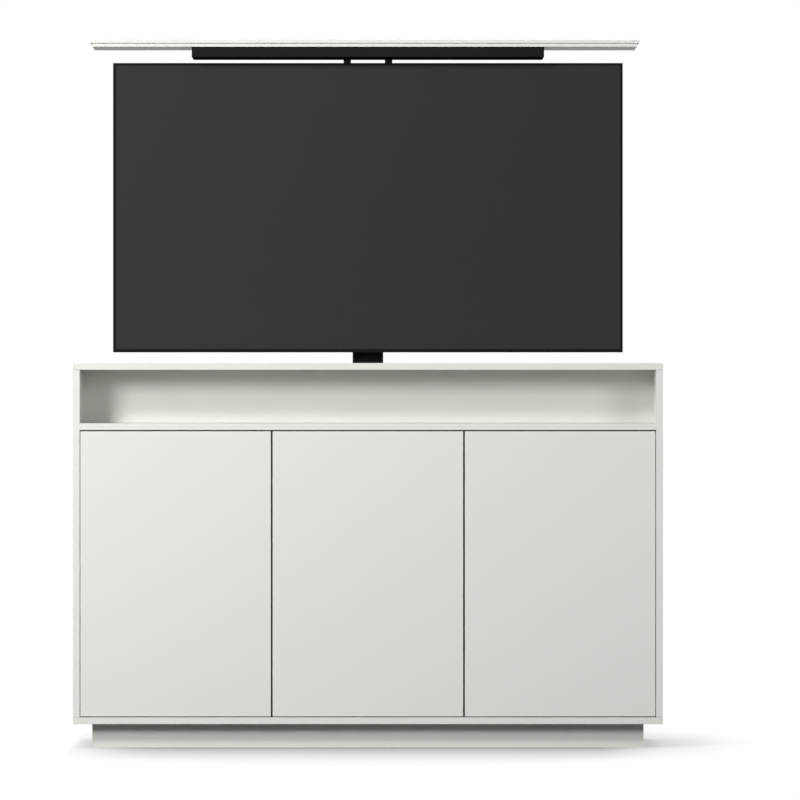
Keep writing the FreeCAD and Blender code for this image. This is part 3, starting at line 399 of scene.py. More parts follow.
# ---------------------------------------------------------------- shader helpers
NODE_STEP = 220                     # between nodes in the node editor
SOCKETS = {"Color": "NodeSocketColor", "Squeeze": "NodeSocketVector", "Normal": "NodeSocketVector"}


def feed(node, inputs):
    """Set a node's inputs to values, or link them to other nodes' results."""
    for label, value in inputs.items():
        if isinstance(value, bpy.types.NodeSocket):
            node.id_data.links.new(value, node.inputs[label])
        else:
            node.inputs[label].default_value = value


def node_in(tree, kind, inputs=None, **settings):
    """Add a node beside the others, with its own settings and its inputs."""
    node = tree.nodes.new(kind)
    node.location.x = NODE_STEP * len(tree.nodes)
    for key, value in settings.items():
        setattr(node, key, value)
    feed(node, inputs or {})
    return node


def math_in(tree, operation, *values, **settings):
    """Result of a math node on values or sockets."""
    return node_in(tree, "ShaderNodeMath", dict(enumerate(values)), operation=operation, **settings).outputs[0]


def object_place(tree):
    """Place on the object."""
    return node_in(tree, "ShaderNodeTexCoord").outputs["Object"]


def noise_in(tree, place, scale, detail, distortion=0.0):
    """Soft noise at a place."""
    return node_in(tree, "ShaderNodeTexNoise", {"Vector": place, "Scale": scale, "Detail": detail,
                                                "Distortion": distortion}).outputs["Fac"]


def bump_in(tree, height, depth, distance):
    """Normal bent by a height."""
    return node_in(tree, "ShaderNodeBump", {"Height": height, "Strength": depth,
                                            "Distance": distance}).outputs["Normal"]


def new_group(name, result, **inputs):
    """Shader node group; returns its tree, its inputs' sockets and its output node."""
    tree = bpy.data.node_groups.new(name, "ShaderNodeTree")
    for label, default in inputs.items():
        kind = SOCKETS.get(label, "NodeSocketFloat")
        tree.interface.new_socket(name=label, in_out="INPUT", socket_type=kind).default_value = default
    tree.interface.new_socket(name=result, in_out="OUTPUT", socket_type=SOCKETS.get(result, "NodeSocketFloat"))
    return tree, node_in(tree, "NodeGroupInput").outputs, node_in(tree, "NodeGroupOutput")


def tone_drift_group():
    """Very wide, faint change of tone, as a sprayed or moulded surface has."""
    tree, given, end = new_group("Tone drift", "Color", Color=(0.8, 0.8, 0.8, 1), Amount=0.03, Scale=2.0)
    noise = noise_in(tree, object_place(tree), given["Scale"], 3.0)
    factor = math_in(tree, "MULTIPLY_ADD", math_in(tree, "SUBTRACT", noise, 0.5), given["Amount"], 1.0)
    tint = node_in(tree, "ShaderNodeVectorMath", {0: given["Color"], "Scale": factor}, operation="SCALE")
    feed(end, {"Color": tint.outputs[0]})
    return tree


def fine_relief_group():
    """Fine even relief, such as the peel of a lacquer or the grain of a powder coat."""
    tree, given, end = new_group("Fine relief", "Normal", Scale=600.0, Depth=0.02, Detail=2.0)
    noise = noise_in(tree, object_place(tree), given["Scale"], given["Detail"])
    feed(end, {"Normal": bump_in(tree, noise, given["Depth"], MM)})
    return tree


def handled_gloss_group():
    """Roughness with faint cloudy smears, as a wiped surface has."""
    tree, given, end = new_group("Handled gloss", "Roughness", Roughness=0.4, Spread=0.05, Scale=9.0)
    noise = noise_in(tree, object_place(tree), given["Scale"], 5.0, 0.6)
    feed(end, {"Roughness": math_in(tree, "MULTIPLY_ADD", math_in(tree, "SUBTRACT", noise, 0.5),
                                    given["Spread"], given["Roughness"], use_clamp=True)})
    return tree


def stretched_lines_group():
    """Lines along one axis, as brushing, rolling or drawing leaves in metal."""
    tree, given, end = new_group("Stretched lines", "Normal", Squeeze=(1.0, 1.0, 0.02), Scale=900.0, Depth=0.05)
    squeezed = node_in(tree, "ShaderNodeVectorMath", {0: object_place(tree), 1: given["Squeeze"]},
                       operation="MULTIPLY")
    noise = noise_in(tree, squeezed.outputs[0], given["Scale"], 3.0)
    feed(end, {"Normal": bump_in(tree, noise, given["Depth"], 0.5 * MM)})
    return tree


GROUP_MAKERS = {
    "Tone drift": tone_drift_group,
    "Fine relief": fine_relief_group,
    "Handled gloss": handled_gloss_group,
    "Stretched lines": stretched_lines_group,
}


def placed_group(tree, name, **values):
    """Result of a group node in a material; the group is made on first use."""
    group = bpy.data.node_groups.get(name) or GROUP_MAKERS[name]()
    return node_in(tree, "ShaderNodeGroup", values, node_tree=group).outputs[0]


def emptied_tree(owner, kind):
    """A material's or world's tree with nothing but its output node; returns both."""
    owner.use_nodes = True
    owner.node_tree.nodes.clear()
    return owner.node_tree, node_in(owner.node_tree, kind)


def new_finish(slot):
    """Material for a slot; returns its tree and its Principled shader."""
    tree, output = emptied_tree(bpy.data.materials.new(slot + "_finish"), "ShaderNodeOutputMaterial")
    shader = node_in(tree, "ShaderNodeBsdfPrincipled")
    feed(output, {"Surface": shader.outputs["BSDF"]})
    return tree, shader


def coated(slot, colour, roughness, drift=0.03, drift_scale=2.0, spread=0.05, relief=600.0, depth=0.02,
           specular=0.5):
    """Painted, lacquered or moulded finish: drifting tone, smeared gloss and a fine relief."""
    tree, shader = new_finish(slot)
    feed(shader, {
        "Base Color": placed_group(tree, "Tone drift", Color=(*colour, 1.0), Amount=drift, Scale=drift_scale),
        "Roughness": placed_group(tree, "Handled gloss", Roughness=roughness, Spread=spread),
        "Normal": placed_group(tree, "Fine relief", Scale=relief, Depth=depth),
        "Specular IOR Level": specular})


def drawn_metal(slot, colour, roughness, squeeze, depth=0.06):
    """Bare or plated metal with lines along its length."""
    tree, shader = new_finish(slot)
    feed(shader, {
        "Base Color": placed_group(tree, "Tone drift", Color=(*colour, 1.0), Amount=0.12, Scale=40.0),
        "Roughness": placed_group(tree, "Handled gloss", Roughness=roughness, Spread=0.15, Scale=60.0),
        "Normal": placed_group(tree, "Stretched lines", Squeeze=squeeze, Depth=depth),
        "Metallic": 1.0})


def beech_wood(slot):
    """Turned beech with its short flecks along the grain."""
    tree, shader = new_finish(slot)
    wave = node_in(tree, "ShaderNodeTexWave", {"Vector": object_place(tree), "Scale": 60.0, "Distortion": 6.0},
                   wave_type="RINGS")
    ramp = node_in(tree, "ShaderNodeValToRGB", {"Fac": wave.outputs["Fac"]})
    ramp.color_ramp.elements[0].color = (0.52, 0.36, 0.21, 1)
    ramp.color_ramp.elements[1].color = (0.72, 0.55, 0.37, 1)
    feed(shader, {"Base Color": ramp.outputs["Color"], "Roughness": 0.7,
                  "Normal": placed_group(tree, "Fine relief", Scale=900.0, Depth=0.1)})


def make_finishes():
    """Every finish that a slot or a piece asks for."""
    cabinet = bpy.context.scene.cabinet_finish
    powder_coat = {"drift": 0.15, "drift_scale": 12.0, "relief": 1400.0, "depth": 0.12}
    coated("lacquered_board", cabinet.lacquer_colour, cabinet.lacquer_roughness, drift=0.012, drift_scale=1.3,
           spread=0.04, relief=420.0, depth=0.012, specular=0.35)
    coated("black_steel", cabinet.steel_colour, 0.7, specular=0.07, **powder_coat)
    coated("matt_black_steel", cabinet.steel_colour, 0.9, specular=0.0, **powder_coat)
    # painted light: a lighter copy of the black steel for the lid's posts, making up for the shade that the lid and
    # its carrier throw on them
    coated("satin_black_steel", (0.034, 0.034, 0.034), 0.6, specular=0.25, **powder_coat)
    coated("black_plastic", (0.02, 0.02, 0.021), 0.55, drift=0.1, drift_scale=9.0, relief=1100.0, depth=0.15)
    coated("grey_plastic", (0.36, 0.36, 0.355), 0.5, relief=900.0, depth=0.08)
    coated("guide_plastic", (0.7, 0.68, 0.6), 0.42, relief=500.0, depth=0.04)
    coated("motor_casing", (0.02, 0.02, 0.022), 0.45, drift=0.12, relief=900.0, depth=0.12)
    coated("cast_aluminium", (0.014, 0.014, 0.015), 0.55, drift=0.2, relief=700.0, depth=0.3)
    coated("gloss_bezel", cabinet.bezel_colour, 0.4, drift=0.05, relief=1500.0, depth=0.03, specular=0.05)
    coated("screen_panel", cabinet.screen_colour, 0.5, drift=0.03, drift_scale=1.0, spread=0.02, relief=2500.0,
           depth=0.02, specular=0.1)
    coated("circuit_board", (0.01, 0.07, 0.03), 0.4, drift=0.4, drift_scale=300.0)
    drawn_metal("zinc_steel", (0.55, 0.56, 0.58), 0.35, (1.0, 1.0, 1.0))
    drawn_metal("nickel_steel", (0.6, 0.6, 0.6), 0.28, (1.0, 0.03, 1.0))
    drawn_metal("spindle_steel", (0.5, 0.51, 0.53), 0.3, (0.02, 0.02, 1.0), depth=0.5)
    drawn_metal("tray_aluminium", (0.66, 0.67, 0.68), 0.4, (0.02, 1.0, 1.0))
    beech_wood("beech")


def finish_of(slot):
    """Finish of a slot; they are all made on first use."""
    if "beech_finish" not in bpy.data.materials:
        make_finishes()
    return bpy.data.materials[slot + "_finish"]


# ---------------------------------------------------------------- boards
GAP_SHADE_PAINT = (0.012, 0.012, 0.011)   # painted shade: near-black band on the partitions' front edges, standing in for the shade in the gaps between the doors
GAP_SHADE_WIDTH = 1.5 * MM
JOINT_LINE = (0.05, 0.05, 0.048)    # hairline where two boards meet
JOINT_WIDTH = 0.5 * MM


def lined(name, axis, places, width, colour):
    """Give a board its own copy of its finish, with dark lines across an axis at some places: joint lines, or the
    painted shade behind the gaps between the doors.
    """
    slot = NODES[name].material_slots[0]
    slot.material = slot.material.copy()
    slot.material.name = name + "_finish"
    tree = slot.material.node_tree
    shader = next(node for node in tree.nodes if node.type == "BSDF_PRINCIPLED")
    split = node_in(tree, "ShaderNodeSeparateXYZ", {0: object_place(tree)})
    mask = 0.0
    for place in places:
        mask = math_in(tree, "MAXIMUM", mask, math_in(tree, "COMPARE", split.outputs[axis], place, width))
    mix = node_in(tree, "ShaderNodeMix", data_type="RGBA")
    feed(mix, {"Factor": mask, "A": shader.inputs["Base Color"].links[0].from_socket, "B": (*colour, 1.0)})
    feed(shader, {"Base Color": mix.outputs["Result"]})


class CABINET_OT_boards(bpy.types.Operator):
    """Give every CAD node its finish, the boards their joint lines and the partitions a painted shade band"""
    bl_idname = "cabinet.boards"
    bl_label = "Boards and plain parts"

    def execute(self, context):
        for name, slot in SLOTS.items():
            node = NODES[name]
            if not node.material_slots:
                node.data.materials.append(None)
            node.material_slots[0].material = finish_of(slot)
        for side in ("left", "right"):
            board = "partition_" + side
            # painted shade: the partitions' front edges get a near-black band where the gaps between the doors fall
            # into shade
            lined(board, "Y", (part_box(board)[0].y,), GAP_SHADE_WIDTH, GAP_SHADE_PAINT)
            board = "side_panel_" + side
            lined(board, "Z", [corner.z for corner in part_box(board)], JOINT_WIDTH, JOINT_LINE)
        lined("bay_divider", "Z", (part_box("niche_shelf")[1].z,), JOINT_WIDTH, JOINT_LINE)
        return {"FINISHED"}


# ---------------------------------------------------------------- column
TUBE_WALL = 2.5 * MM
TUBE_CORNER = {"column_outer_tube": 6 * MM, "column_middle_tube": 5 * MM, "column_inner_tube": 4 * MM}
SLIDE_FIT = 0.2 * MM
NECK_SLOT = (24.4 * MM, 20.2 * MM)  # width and height of the outer tube's slot for the gear case
SECOND_LEAD = 16 * MM               # travel per turn of the hollow spindle's thread
THREAD_STARTS = 4
THREAD_DEPTH = 1.2 * MM
THREAD_ROOT = 0.2                   # of its depth that a ridge reaches into the core
THREAD_CREST = 0.55                 # width of a ridge's crest, as a share of its foot
THREAD_STEPS = 24                   # in one turn
SPLINE_COUNT = 12
SPLINE_DEPTH = 0.8 * MM


def column_tube(node):
    """Thin-walled tube with rounded corners, open at both ends."""
    low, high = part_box(node)
    tube = rounded_block(low, high, TUBE_CORNER[node])
    delete_faces(tube, lambda face: abs(face.normal.z) > ALIGNED)
    give_wall(tube, TUBE_WALL)
    if node == "column_outer_tube":
        middle = (low.y + high.y) / 2
        width, height = NECK_SLOT
        cut_out(tube, add_block((high.x - 2 * TUBE_WALL, middle - width / 2, low.z - MM),
                                (high.x + MM, middle + width / 2, low.z + height)))
    return soften(tube, 0.4 * MM)


def tube_cutter(tube, z0, z1, fit=0.0):
    """Cutter with a tube's outline, a little wider if asked, between two heights."""
    low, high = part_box(tube)
    return rounded_block((low.x - fit, low.y - fit, z0), (high.x + fit, high.y + fit, z1), TUBE_CORNER[tube])


def guide_collar(node, tube, next_tube):
    """Plastic sleeve in a tube's mouth with a lip on its rim."""
    low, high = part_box(node)
    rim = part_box(tube)[1].z
    collar = rounded_block((low.x, low.y, rim), high, TUBE_CORNER[tube])
    bevel(collar, lies_at(Z, high.z), 1.2 * MM)
    weld(collar, rounded_block((low.x + TUBE_WALL, low.y + TUBE_WALL, low.z),
                               (high.x - TUBE_WALL, high.y - TUBE_WALL, rim + MM), TUBE_CORNER[tube] - TUBE_WALL))
    cut_out(collar, tube_cutter(next_tube, low.z - MM, high.z + MM, SLIDE_FIT))
    return soften(collar, 0.3 * MM)


def spindle_measures(node):
    """Low and high corner, centre and radius of a spindle."""
    low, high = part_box(node)
    return low, high, (low + high) / 2, (high.x - low.x) / 2


def splined_spindle():
    """Drive spindle with straight splines along it."""
    low, high, centre, radius = spindle_measures("drive_spindle")
    sides = 4 * SPLINE_COUNT
    spindle = add_rod(radius, centre, Z, low.z, high.z, sides)
    step = math.tau / sides

    def in_groove(edge):
        middle = (edge.verts[0].co + edge.verts[1].co) / 2 - centre
        return runs_along(Z)(edge) and round(math.atan2(middle.y, middle.x) / step) % 4 in (0, 1)
    pick(spindle, "EDGE", in_groove)
    shrink = 1 - SPLINE_DEPTH / radius
    bpy.ops.transform.resize(value=(shrink, shrink, 1), center_override=centre)
    leave_edit_mode()
    return soften(spindle)


def threaded_spindle():
    """Hollow spindle with a steep four-start thread."""
    low, high, centre, radius = spindle_measures("second_spindle")
    bore = spindle_measures("drive_spindle")[3] + 0.1 * MM
    core = add_rod(radius - THREAD_DEPTH, centre, Z, low.z, high.z, FINE_SIDES)
    cut_out(core, add_rod(bore, centre, Z, low.z - MM, high.z + MM, FINE_SIDES))
    depth = THREAD_DEPTH * (1 + THREAD_ROOT)
    pitch = SECOND_LEAD / THREAD_STARTS
    turns = int((high.z - low.z - pitch) / SECOND_LEAD)
    threads = []
    for start in range(THREAD_STARTS):
        leave_edit_mode()
        bpy.ops.mesh.primitive_plane_add(size=1.0, location=(radius - depth / 2, 0, 0),
                                         rotation=(math.pi / 2, 0, 0))
        bpy.context.object.scale = (depth, pitch / 2, 1)
        ridge = settle()
        pick(ridge, "EDGE", lambda edge: all(vert.co.x > radius - 0.1 * MM for vert in edge.verts))
        bpy.ops.transform.resize(value=(1, 1, THREAD_CREST), center_override=(radius, 0, 0))
        leave_edit_mode()
        apply_modifier(ridge, "SCREW", axis="Z", angle=math.tau, screw_offset=SECOND_LEAD, iterations=1,
                       steps=THREAD_STEPS, render_steps=THREAD_STEPS)
        rows_of(ridge, max(1, turns), (0, 0, SECOND_LEAD), use_merge_vertices=True, merge_threshold=0.01 * MM)
        activate(ridge)
        ridge.rotation_euler = (0, 0, math.tau * start / THREAD_STARTS)
        ridge.location = (centre.x, centre.y, low.z + pitch / 2)
        settle()
        face_outwards(ridge)
        threads.append(ridge)
    return soften(joined([core, *threads]))


class CABINET_OT_column(bpy.types.Operator):
    """Make the three tubes, their collars and the two spindles"""
    bl_idname = "cabinet.column"
    bl_label = "Lifting column"

    def execute(self, context):
        tubes = tuple(TUBE_CORNER)
        for node in tubes:
            finish_piece(column_tube(node), node)
        for node, tube, next_tube in zip(("outer_guide_collar", "middle_guide_collar"), tubes, tubes[1:]):
            finish_piece(guide_collar(node, tube, next_tube), node)
        finish_piece(splined_spindle(), "drive_spindle")
        finish_piece(threaded_spindle(), "second_spindle")
        return {"FINISHED"}


# ---------------------------------------------------------------- drive and foot
GEAR_CASE_HEIGHT = 20 * MM
GEAR_NECK_HALF = 12 * MM
GEAR_NECK_OVERLAP = 4 * MM
GEAR_BOX_WIDTH = 58 * MM
GEAR_BOX_DEPTH = 50 * MM
GEAR_BOX_HEIGHT = 50 * MM
GEAR_RIB = Vector((-8, 1.2, 2.4)) * MM      # how far a rib reaches past the box in X and Y, and its height
GEAR_RIB_PLACES = (10 * MM, 20 * MM, 30 * MM)
GEAR_BOLTS = (23 * MM, 19 * MM)
MOTOR_RADIUS = 22 * MM
MOTOR_LENGTH = 110 * MM
MOTOR_CAP_RADIUS = 16 * MM
SEAM_DROP = 13 * MM                 # of the control box's lid seam, below its top
SEAM_HEIGHT = 0.8 * MM
CONTROL_SLOTS = 12
CONTROL_SLOT_INSET = (22 * MM, 12 * MM)
CONTROL_SLOT_WIDTH = 2.4 * MM
CONTROL_SLOT_STEP = 6 * MM
SOCKETS_Y = (8 * MM, 22 * MM, 36 * MM)
SOCKETS_Z = (12 * MM, 20 * MM)
SOCKET_WIDTH = 10 * MM


def gear_motor():
    """Angle gear case, gear box with cover screws, and an upright motor with an end cap."""
    low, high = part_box("gear_motor")
    y = (low.y + high.y) / 2
    left = high.x - GEAR_BOX_WIDTH
    front, back = y - GEAR_BOX_DEPTH / 2, y + GEAR_BOX_DEPTH / 2
    case_top, box_top = low.z + GEAR_CASE_HEIGHT, low.z + GEAR_BOX_HEIGHT
    can_top = box_top + MOTOR_LENGTH
    centre = Vector((high.x - GEAR_BOX_WIDTH / 2, y, 0))
    case = rounded_block(low, (-low.x, high.y, case_top), 3 * MM)
    neck = add_block((-low.x - GEAR_NECK_OVERLAP, y - GEAR_NECK_HALF, low.z),
                     (left + GEAR_NECK_OVERLAP, y + GEAR_NECK_HALF, case_top))
    box = rounded_block((left, front, low.z), (high.x, back, box_top), 7 * MM)
    bevel(box, lies_at(Z, box_top), 2.5 * MM)
    ribs = [add_block((left - GEAR_RIB.x, front - GEAR_RIB.y, low.z + z),
                      (high.x + GEAR_RIB.x, back + GEAR_RIB.y, low.z + z + GEAR_RIB.z)) for z in GEAR_RIB_PLACES]
    collar = add_rod(MOTOR_RADIUS + 1.5 * MM, centre, Z, box_top - MM, box_top + 5 * MM, FINE_SIDES)
    can = add_rod(MOTOR_RADIUS, centre, Z, box_top, can_top, FINE_SIDES)
    bevel(can, lies_at(Z, can_top), 3 * MM)
    cap = add_rod(MOTOR_CAP_RADIUS, centre, Z, can_top - MM, high.z, FINE_SIDES)
    bevel(cap, lies_at(Z, high.z), 2 * MM)
    heads = [add_rod(2.8 * MM, centre + Vector((sx * GEAR_BOLTS[0], sy * GEAR_BOLTS[1], 0)), Z,
                     box_top - MM, box_top + 2 * MM, sides=16) for sx in SIDES for sy in SIDES]
    weld(case, neck)
    weld(case, box)
    return soften(joined([case, *ribs, collar, can, cap, *heads]), 0.4 * MM)


def control_box():
    """Moulded casing with a lid seam, cooling slots, three sockets and a window for the inlet."""
    low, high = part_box("control_box")
    inlet_low, inlet_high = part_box("power_inlet")
    casing = rounded_block(low, high, 6 * MM)
    bevel(casing, lies_at(Z, high.z), 2.5 * MM)
    fit = Vector((0.2, 0.0, 0.2)) * MM
    window = add_block(inlet_low - fit, inlet_high + fit + Vector((0, 2 * MM, 0)))
    seam_z = high.z - SEAM_DROP
    seam = add_block((low.x - MM, low.y - MM, seam_z), (high.x + MM, high.y + MM, seam_z + SEAM_HEIGHT))
    cut_out(seam, rounded_block((low.x + MM, low.y + MM, seam_z - MM),
                                (high.x - MM, high.y - MM, seam_z + 2 * MM), 5 * MM))
    inset_x, inset_y = CONTROL_SLOT_INSET
    slot = slot_cutter((low.x + inset_x, low.y + inset_y, high.z - 1.5 * MM),
                       (low.x + inset_x + CONTROL_SLOT_WIDTH, high.y - inset_y, high.z + MM), Z)
    for cutter in (window, seam, rows_of(slot, CONTROL_SLOTS, (CONTROL_SLOT_STEP, 0, 0))):
        cut_out(casing, cutter)
    z0, z1 = (low.z + z for z in SOCKETS_Z)
    cut_out(casing, *(add_block((low.x - MM, low.y + y, z0), (low.x + 4 * MM, low.y + y + SOCKET_WIDTH, z1))
                      for y in SOCKETS_Y))
    return soften(casing, 0.3 * MM)


class CABINET_OT_drive(bpy.types.Operator):
    """Make the base plate, the gear motor and the control box"""
    bl_idname = "cabinet.drive"
    bl_label = "Drive and foot"

    def execute(self, context):
        plate = rounded_block(*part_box("lift_base_plate"), 10 * MM)
        finish_piece(soften(plate, 0.8 * MM), "lift_base_plate")
        finish_piece(gear_motor(), "gear_motor")
        finish_piece(control_box(), "control_box")
        return {"FINISHED"}


# ---------------------------------------------------------------- screen mount
HEAD_GROOVES = (14 * MM, 34 * MM, 54 * MM, 74 * MM, 94 * MM)
HEAD_GROOVE_HEIGHT = 9 * MM
FRAME_PLATE = 4 * MM
SPINE_WIDTH = 120 * MM
SPINE_WINDOWS = (40 * MM, 160 * MM, 280 * MM)
SPINE_WINDOW_X = 38 * MM
SPINE_WINDOW_HEIGHT = 90 * MM
CROSSBAR_HEIGHT = 30 * MM
CROSSBAR_SPACING = 300 * MM
CROSSBAR_SLOT_X = 145 * MM
CROSSBAR_SLOT = (30 * MM, 4 * MM)   # half width and half height
ARM_WIDTH = 30 * MM
ARM_WALL = 2.5 * MM
ARM_SLOTS = (-155 * MM, -52 * MM, 0.0, 52 * MM, 155 * MM)
ARM_SLOT = (3.2 * MM, 22 * MM)      # half width and half height
CARRIER_WALL = 2 * MM
CARRIER_FLANGE = 19 * MM
CARRIER_TOP_AREA = 0.01             # square metres; only its top and bottom are larger


def slot_around(x, z, half_x, half_z, y0, y1):
    """Cutter for an upright or a lying slot around a point, from one depth to another."""
    return slot_cutter((x - half_x, y0, z - half_z), (x + half_x, y1, z + half_z), Y)


def lift_head():
    """Cast sleeve with ribs on its back."""
    low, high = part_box("lift_head")
    head = rounded_block(low, high, 4 * MM)
    cut_out(head, *(add_block((low.x + 10 * MM, high.y - 2.2 * MM, low.z + z),
                              (high.x - 10 * MM, high.y + MM, low.z + z + HEAD_GROOVE_HEIGHT))
                    for z in HEAD_GROOVES))
    cut_out(head, tube_cutter("column_inner_tube", low.z - MM, high.z + MM))
    return soften(head, 0.8 * MM)


def mount_frame():
    """Spine plate and two slotted crossbars."""
    low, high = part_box("mount_frame")
    plane = low.y + FRAME_PLATE
    spine = rounded_block((-SPINE_WIDTH / 2, plane, low.z), (SPINE_WIDTH / 2, high.y, high.z), 9 * MM, Y)
    half = SPINE_WINDOW_HEIGHT / 2
    cut_out(spine, *(slot_around(side * SPINE_WINDOW_X, low.z + z + half, 5 * MM, half, plane - MM, high.y + MM)
                     for side in SIDES for z in SPINE_WINDOWS))
    bars = []
    for end in SIDES:
        z = SCREEN_MIDDLE + end * CROSSBAR_SPACING / 2
        bar = rounded_block((low.x, low.y, z - CROSSBAR_HEIGHT / 2), (high.x, plane, z + CROSSBAR_HEIGHT / 2),
                            6 * MM, Y)
        bars.append(cut_out(bar, *(slot_around(side * CROSSBAR_SLOT_X, z, *CROSSBAR_SLOT, low.y - MM, plane + MM)
                                   for side in SIDES)))
    return soften(joined([spine, *bars]), 0.6 * MM)


def screen_arm():
    """Folded channel with a row of slots along its web."""
    low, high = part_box("tv_arms")
    arm = add_block((high.x - ARM_WIDTH, low.y, low.z), high)
    bevel(arm, lies_at(Y, low.y, Z), 3 * MM, 4)
    delete_faces(arm, lambda face: face.normal.y > ALIGNED or abs(face.normal.z) > ALIGNED)
    give_wall(arm, ARM_WALL)
    middle = (low.z + high.z) / 2
    cut_out(arm, *(slot_around(high.x - ARM_WIDTH / 2, middle + z, *ARM_SLOT, low.y - MM, low.y + 4 * MM)
                   for z in ARM_SLOTS))
    return soften(arm, 0.4 * MM)


def lid_post():
    """Post with rounded corners beside the head."""
    low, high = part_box("lid_posts")
    return soften(rounded_block((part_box("lift_head")[1].x, low.y, low.z), high, 2.5 * MM, Z, 4), 0.5 * MM)


def lid_carrier():
    """Folded sheet-steel tray with an inward flange round its top."""
    carrier = add_block(*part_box("lid_carrier"))
    bevel(carrier, lambda edge: True, 1.5 * MM)
    pick(carrier, "FACE", lambda face: face.normal.z > ALIGNED and face.calc_area() > CARRIER_TOP_AREA)
    bpy.ops.mesh.inset(thickness=CARRIER_FLANGE)
    bpy.ops.mesh.delete(type="FACE")
    leave_edit_mode()
    give_wall(carrier, CARRIER_WALL)
    return soften(carrier)


class CABINET_OT_mount(bpy.types.Operator):
    """Make the lift head, the mounting frame, the arms, the posts and the lid's carrier"""
    bl_idname = "cabinet.mount"
    bl_label = "Screen mount and lid carrier"

    def execute(self, context):
        finish_piece(lift_head(), "lift_head")
        finish_piece(mount_frame(), "mount_frame")
        # the lid's posts take the lighter steel, painted light against the shade under the lid
        for make, node, finish in ((screen_arm, "tv_arms", None), (lid_post, "lid_posts", "satin_black_steel")):
            right = make()
            finish_piece(joined([right, copy_of(right, flip=X)]), node, finish)
        finish_piece(lid_carrier(), "lid_carrier", "matt_black_steel")
        return {"FINISHED"}


# ---------------------------------------------------------------- screen
COVER_EDGE = 12 * MM                # thickness of the cover's thin part
COVER_CORNER = 8 * MM
COVER_RIM_ROUND = 5 * MM
COVER_WALL = 2.5 * MM
BULGE_SIDE = 150 * MM
BULGE_BOTTOM = 40 * MM
BULGE_TOP = 155 * MM
BULGE_CORNER = 14 * MM
BULGE_ROUND = 10 * MM
SCREEN_HOLES_X = 400 * MM
SCREEN_HOLES_Z = 200 * MM
BOSS_RADIUS = 9 * MM
BOLT_BORE = 3.05 * MM
VENT_SLOT = Vector((2.4, 6, 16)) * MM
VENT_STEP = (11.5 * MM, 22 * MM)    # across and up
VENT_COLUMNS = 70
VENT_DEPTH = 5 * MM
VENT_INSET = 60 * MM                # of the first slot, from the bulge's side
VENT_FIELDS = ((-62 * MM, 2), (26 * MM, 1))    # above the bulge's top and bottom, and rows
PORTS_X = 162 * MM                  # over the main board's row of sockets
BAY_WIDTH = 40 * MM
BAY_HEIGHT = 150 * MM
BAY_DEPTH = 7 * MM
BAY_WALL = 1.2 * MM
PORT_ROW = ("flat", "flat", "flat", "flat", "square", "square", "round", "round")
PORT_SIZES = {"flat": (2.5 * MM, 7 * MM), "square": (6 * MM, 6.5 * MM)}
ROUND_PORT = 4.2 * MM
PORT_DEPTH = 4 * MM
RIM_INSET = 22 * MM                 # of the screws along the cover's rim
FOOT_INSET = 16 * MM
RIM_SCREWS_X = (-0.3, 0.0, 0.3)
WELL_DEPTH = 1.4 * MM
WELL_RADIUS = 4 * MM
COVER_SCREW = (3 * MM, 1.1 * MM, 1.2 * MM, 3 * MM)  # head's radius and height, shank's radius and length


def cover_form(shrink, start):
    """The cover's outline, or its hollow where shrunk by the wall, from a depth backwards."""
    low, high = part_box("tv_back_cover")
    edge_y = SCREEN_HIGH.y + COVER_EDGE - shrink
    slab = add_block((low.x + shrink, start, low.z + shrink), (high.x - shrink, edge_y, high.z - shrink))
    bevel(slab, runs_along(Y), COVER_CORNER - shrink)
    bevel(slab, lies_at(Y, edge_y), COVER_RIM_ROUND - shrink, 4)
    bulge = add_block((low.x + BULGE_SIDE + shrink, start + 2 * MM, low.z + BULGE_BOTTOM + shrink),
                      (high.x - BULGE_SIDE - shrink, high.y - shrink, high.z - BULGE_TOP - shrink))
    bevel(bulge, runs_along(Y), BULGE_CORNER, 4)
    bevel(bulge, lies_at(Y, high.y - shrink), BULGE_ROUND, 4)
    return weld(slab, bulge)


def vent_field(first, rows):
    """Cutters for a field of upright cooling slots."""
    slot = slot_cutter(first, Vector(first) + VENT_SLOT, Y, 2)
    rows_of(slot, VENT_COLUMNS, (VENT_STEP[0], 0, 0))
    return rows_of(slot, rows, (0, 0, VENT_STEP[1]))


def back_cover():
    """Moulded shell with cooling slots, a socket bay, bosses and screws in wells."""
    low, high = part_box("tv_back_cover")
    cover = cover_form(0.0, SCREEN_HIGH.y)
    cut_out(cover, cover_form(COVER_WALL, SCREEN_HIGH.y - MM))
    bay_low = Vector((PORTS_X - BAY_WIDTH / 2, high.y - BAY_DEPTH, SCREEN_MIDDLE - BAY_HEIGHT / 2))
    bay_high = Vector((PORTS_X + BAY_WIDTH / 2, high.y + MM, SCREEN_MIDDLE + BAY_HEIGHT / 2))
    wall = Vector((BAY_WALL, BAY_WALL, BAY_WALL))
    weld(cover, rounded_block(bay_low - wall, bay_high + wall - Vector((0, 3 * MM, 0)), 7 * MM, Y))
    cut_out(cover, rounded_block(bay_low, bay_high, 5 * MM, Y))
    cut_out(cover, *port_windows(bay_low.y))
    vent_x = VENT_INSET - (high.x - BULGE_SIDE)
    cut_out(cover, *(vent_field((vent_x, high.y - VENT_DEPTH, z + rise), rows)
                     for z, (rise, rows) in zip((high.z - BULGE_TOP, low.z + BULGE_BOTTOM), VENT_FIELDS)))
    return soften(joined([cover, *cover_bosses(low, high), *cover_screws(cover, low, high)]))


def port_windows(floor):
    """Cutters for the flat, square and round sockets in the bay's floor."""
    windows = []
    for count, kind in enumerate(PORT_ROW):
        z = SCREEN_MIDDLE + (count - (len(PORT_ROW) - 1) / 2) * BAY_HEIGHT / len(PORT_ROW)
        if kind == "round":
            windows.append(add_rod(ROUND_PORT, (PORTS_X, 0, z), Y, floor - PORT_DEPTH, floor + MM, sides=20))
        else:
            half_x, half_z = PORT_SIZES[kind]
            windows.append(add_block((PORTS_X - half_x, floor - PORT_DEPTH, z - half_z),
                                     (PORTS_X + half_x, floor + MM, z + half_z)))
    return windows


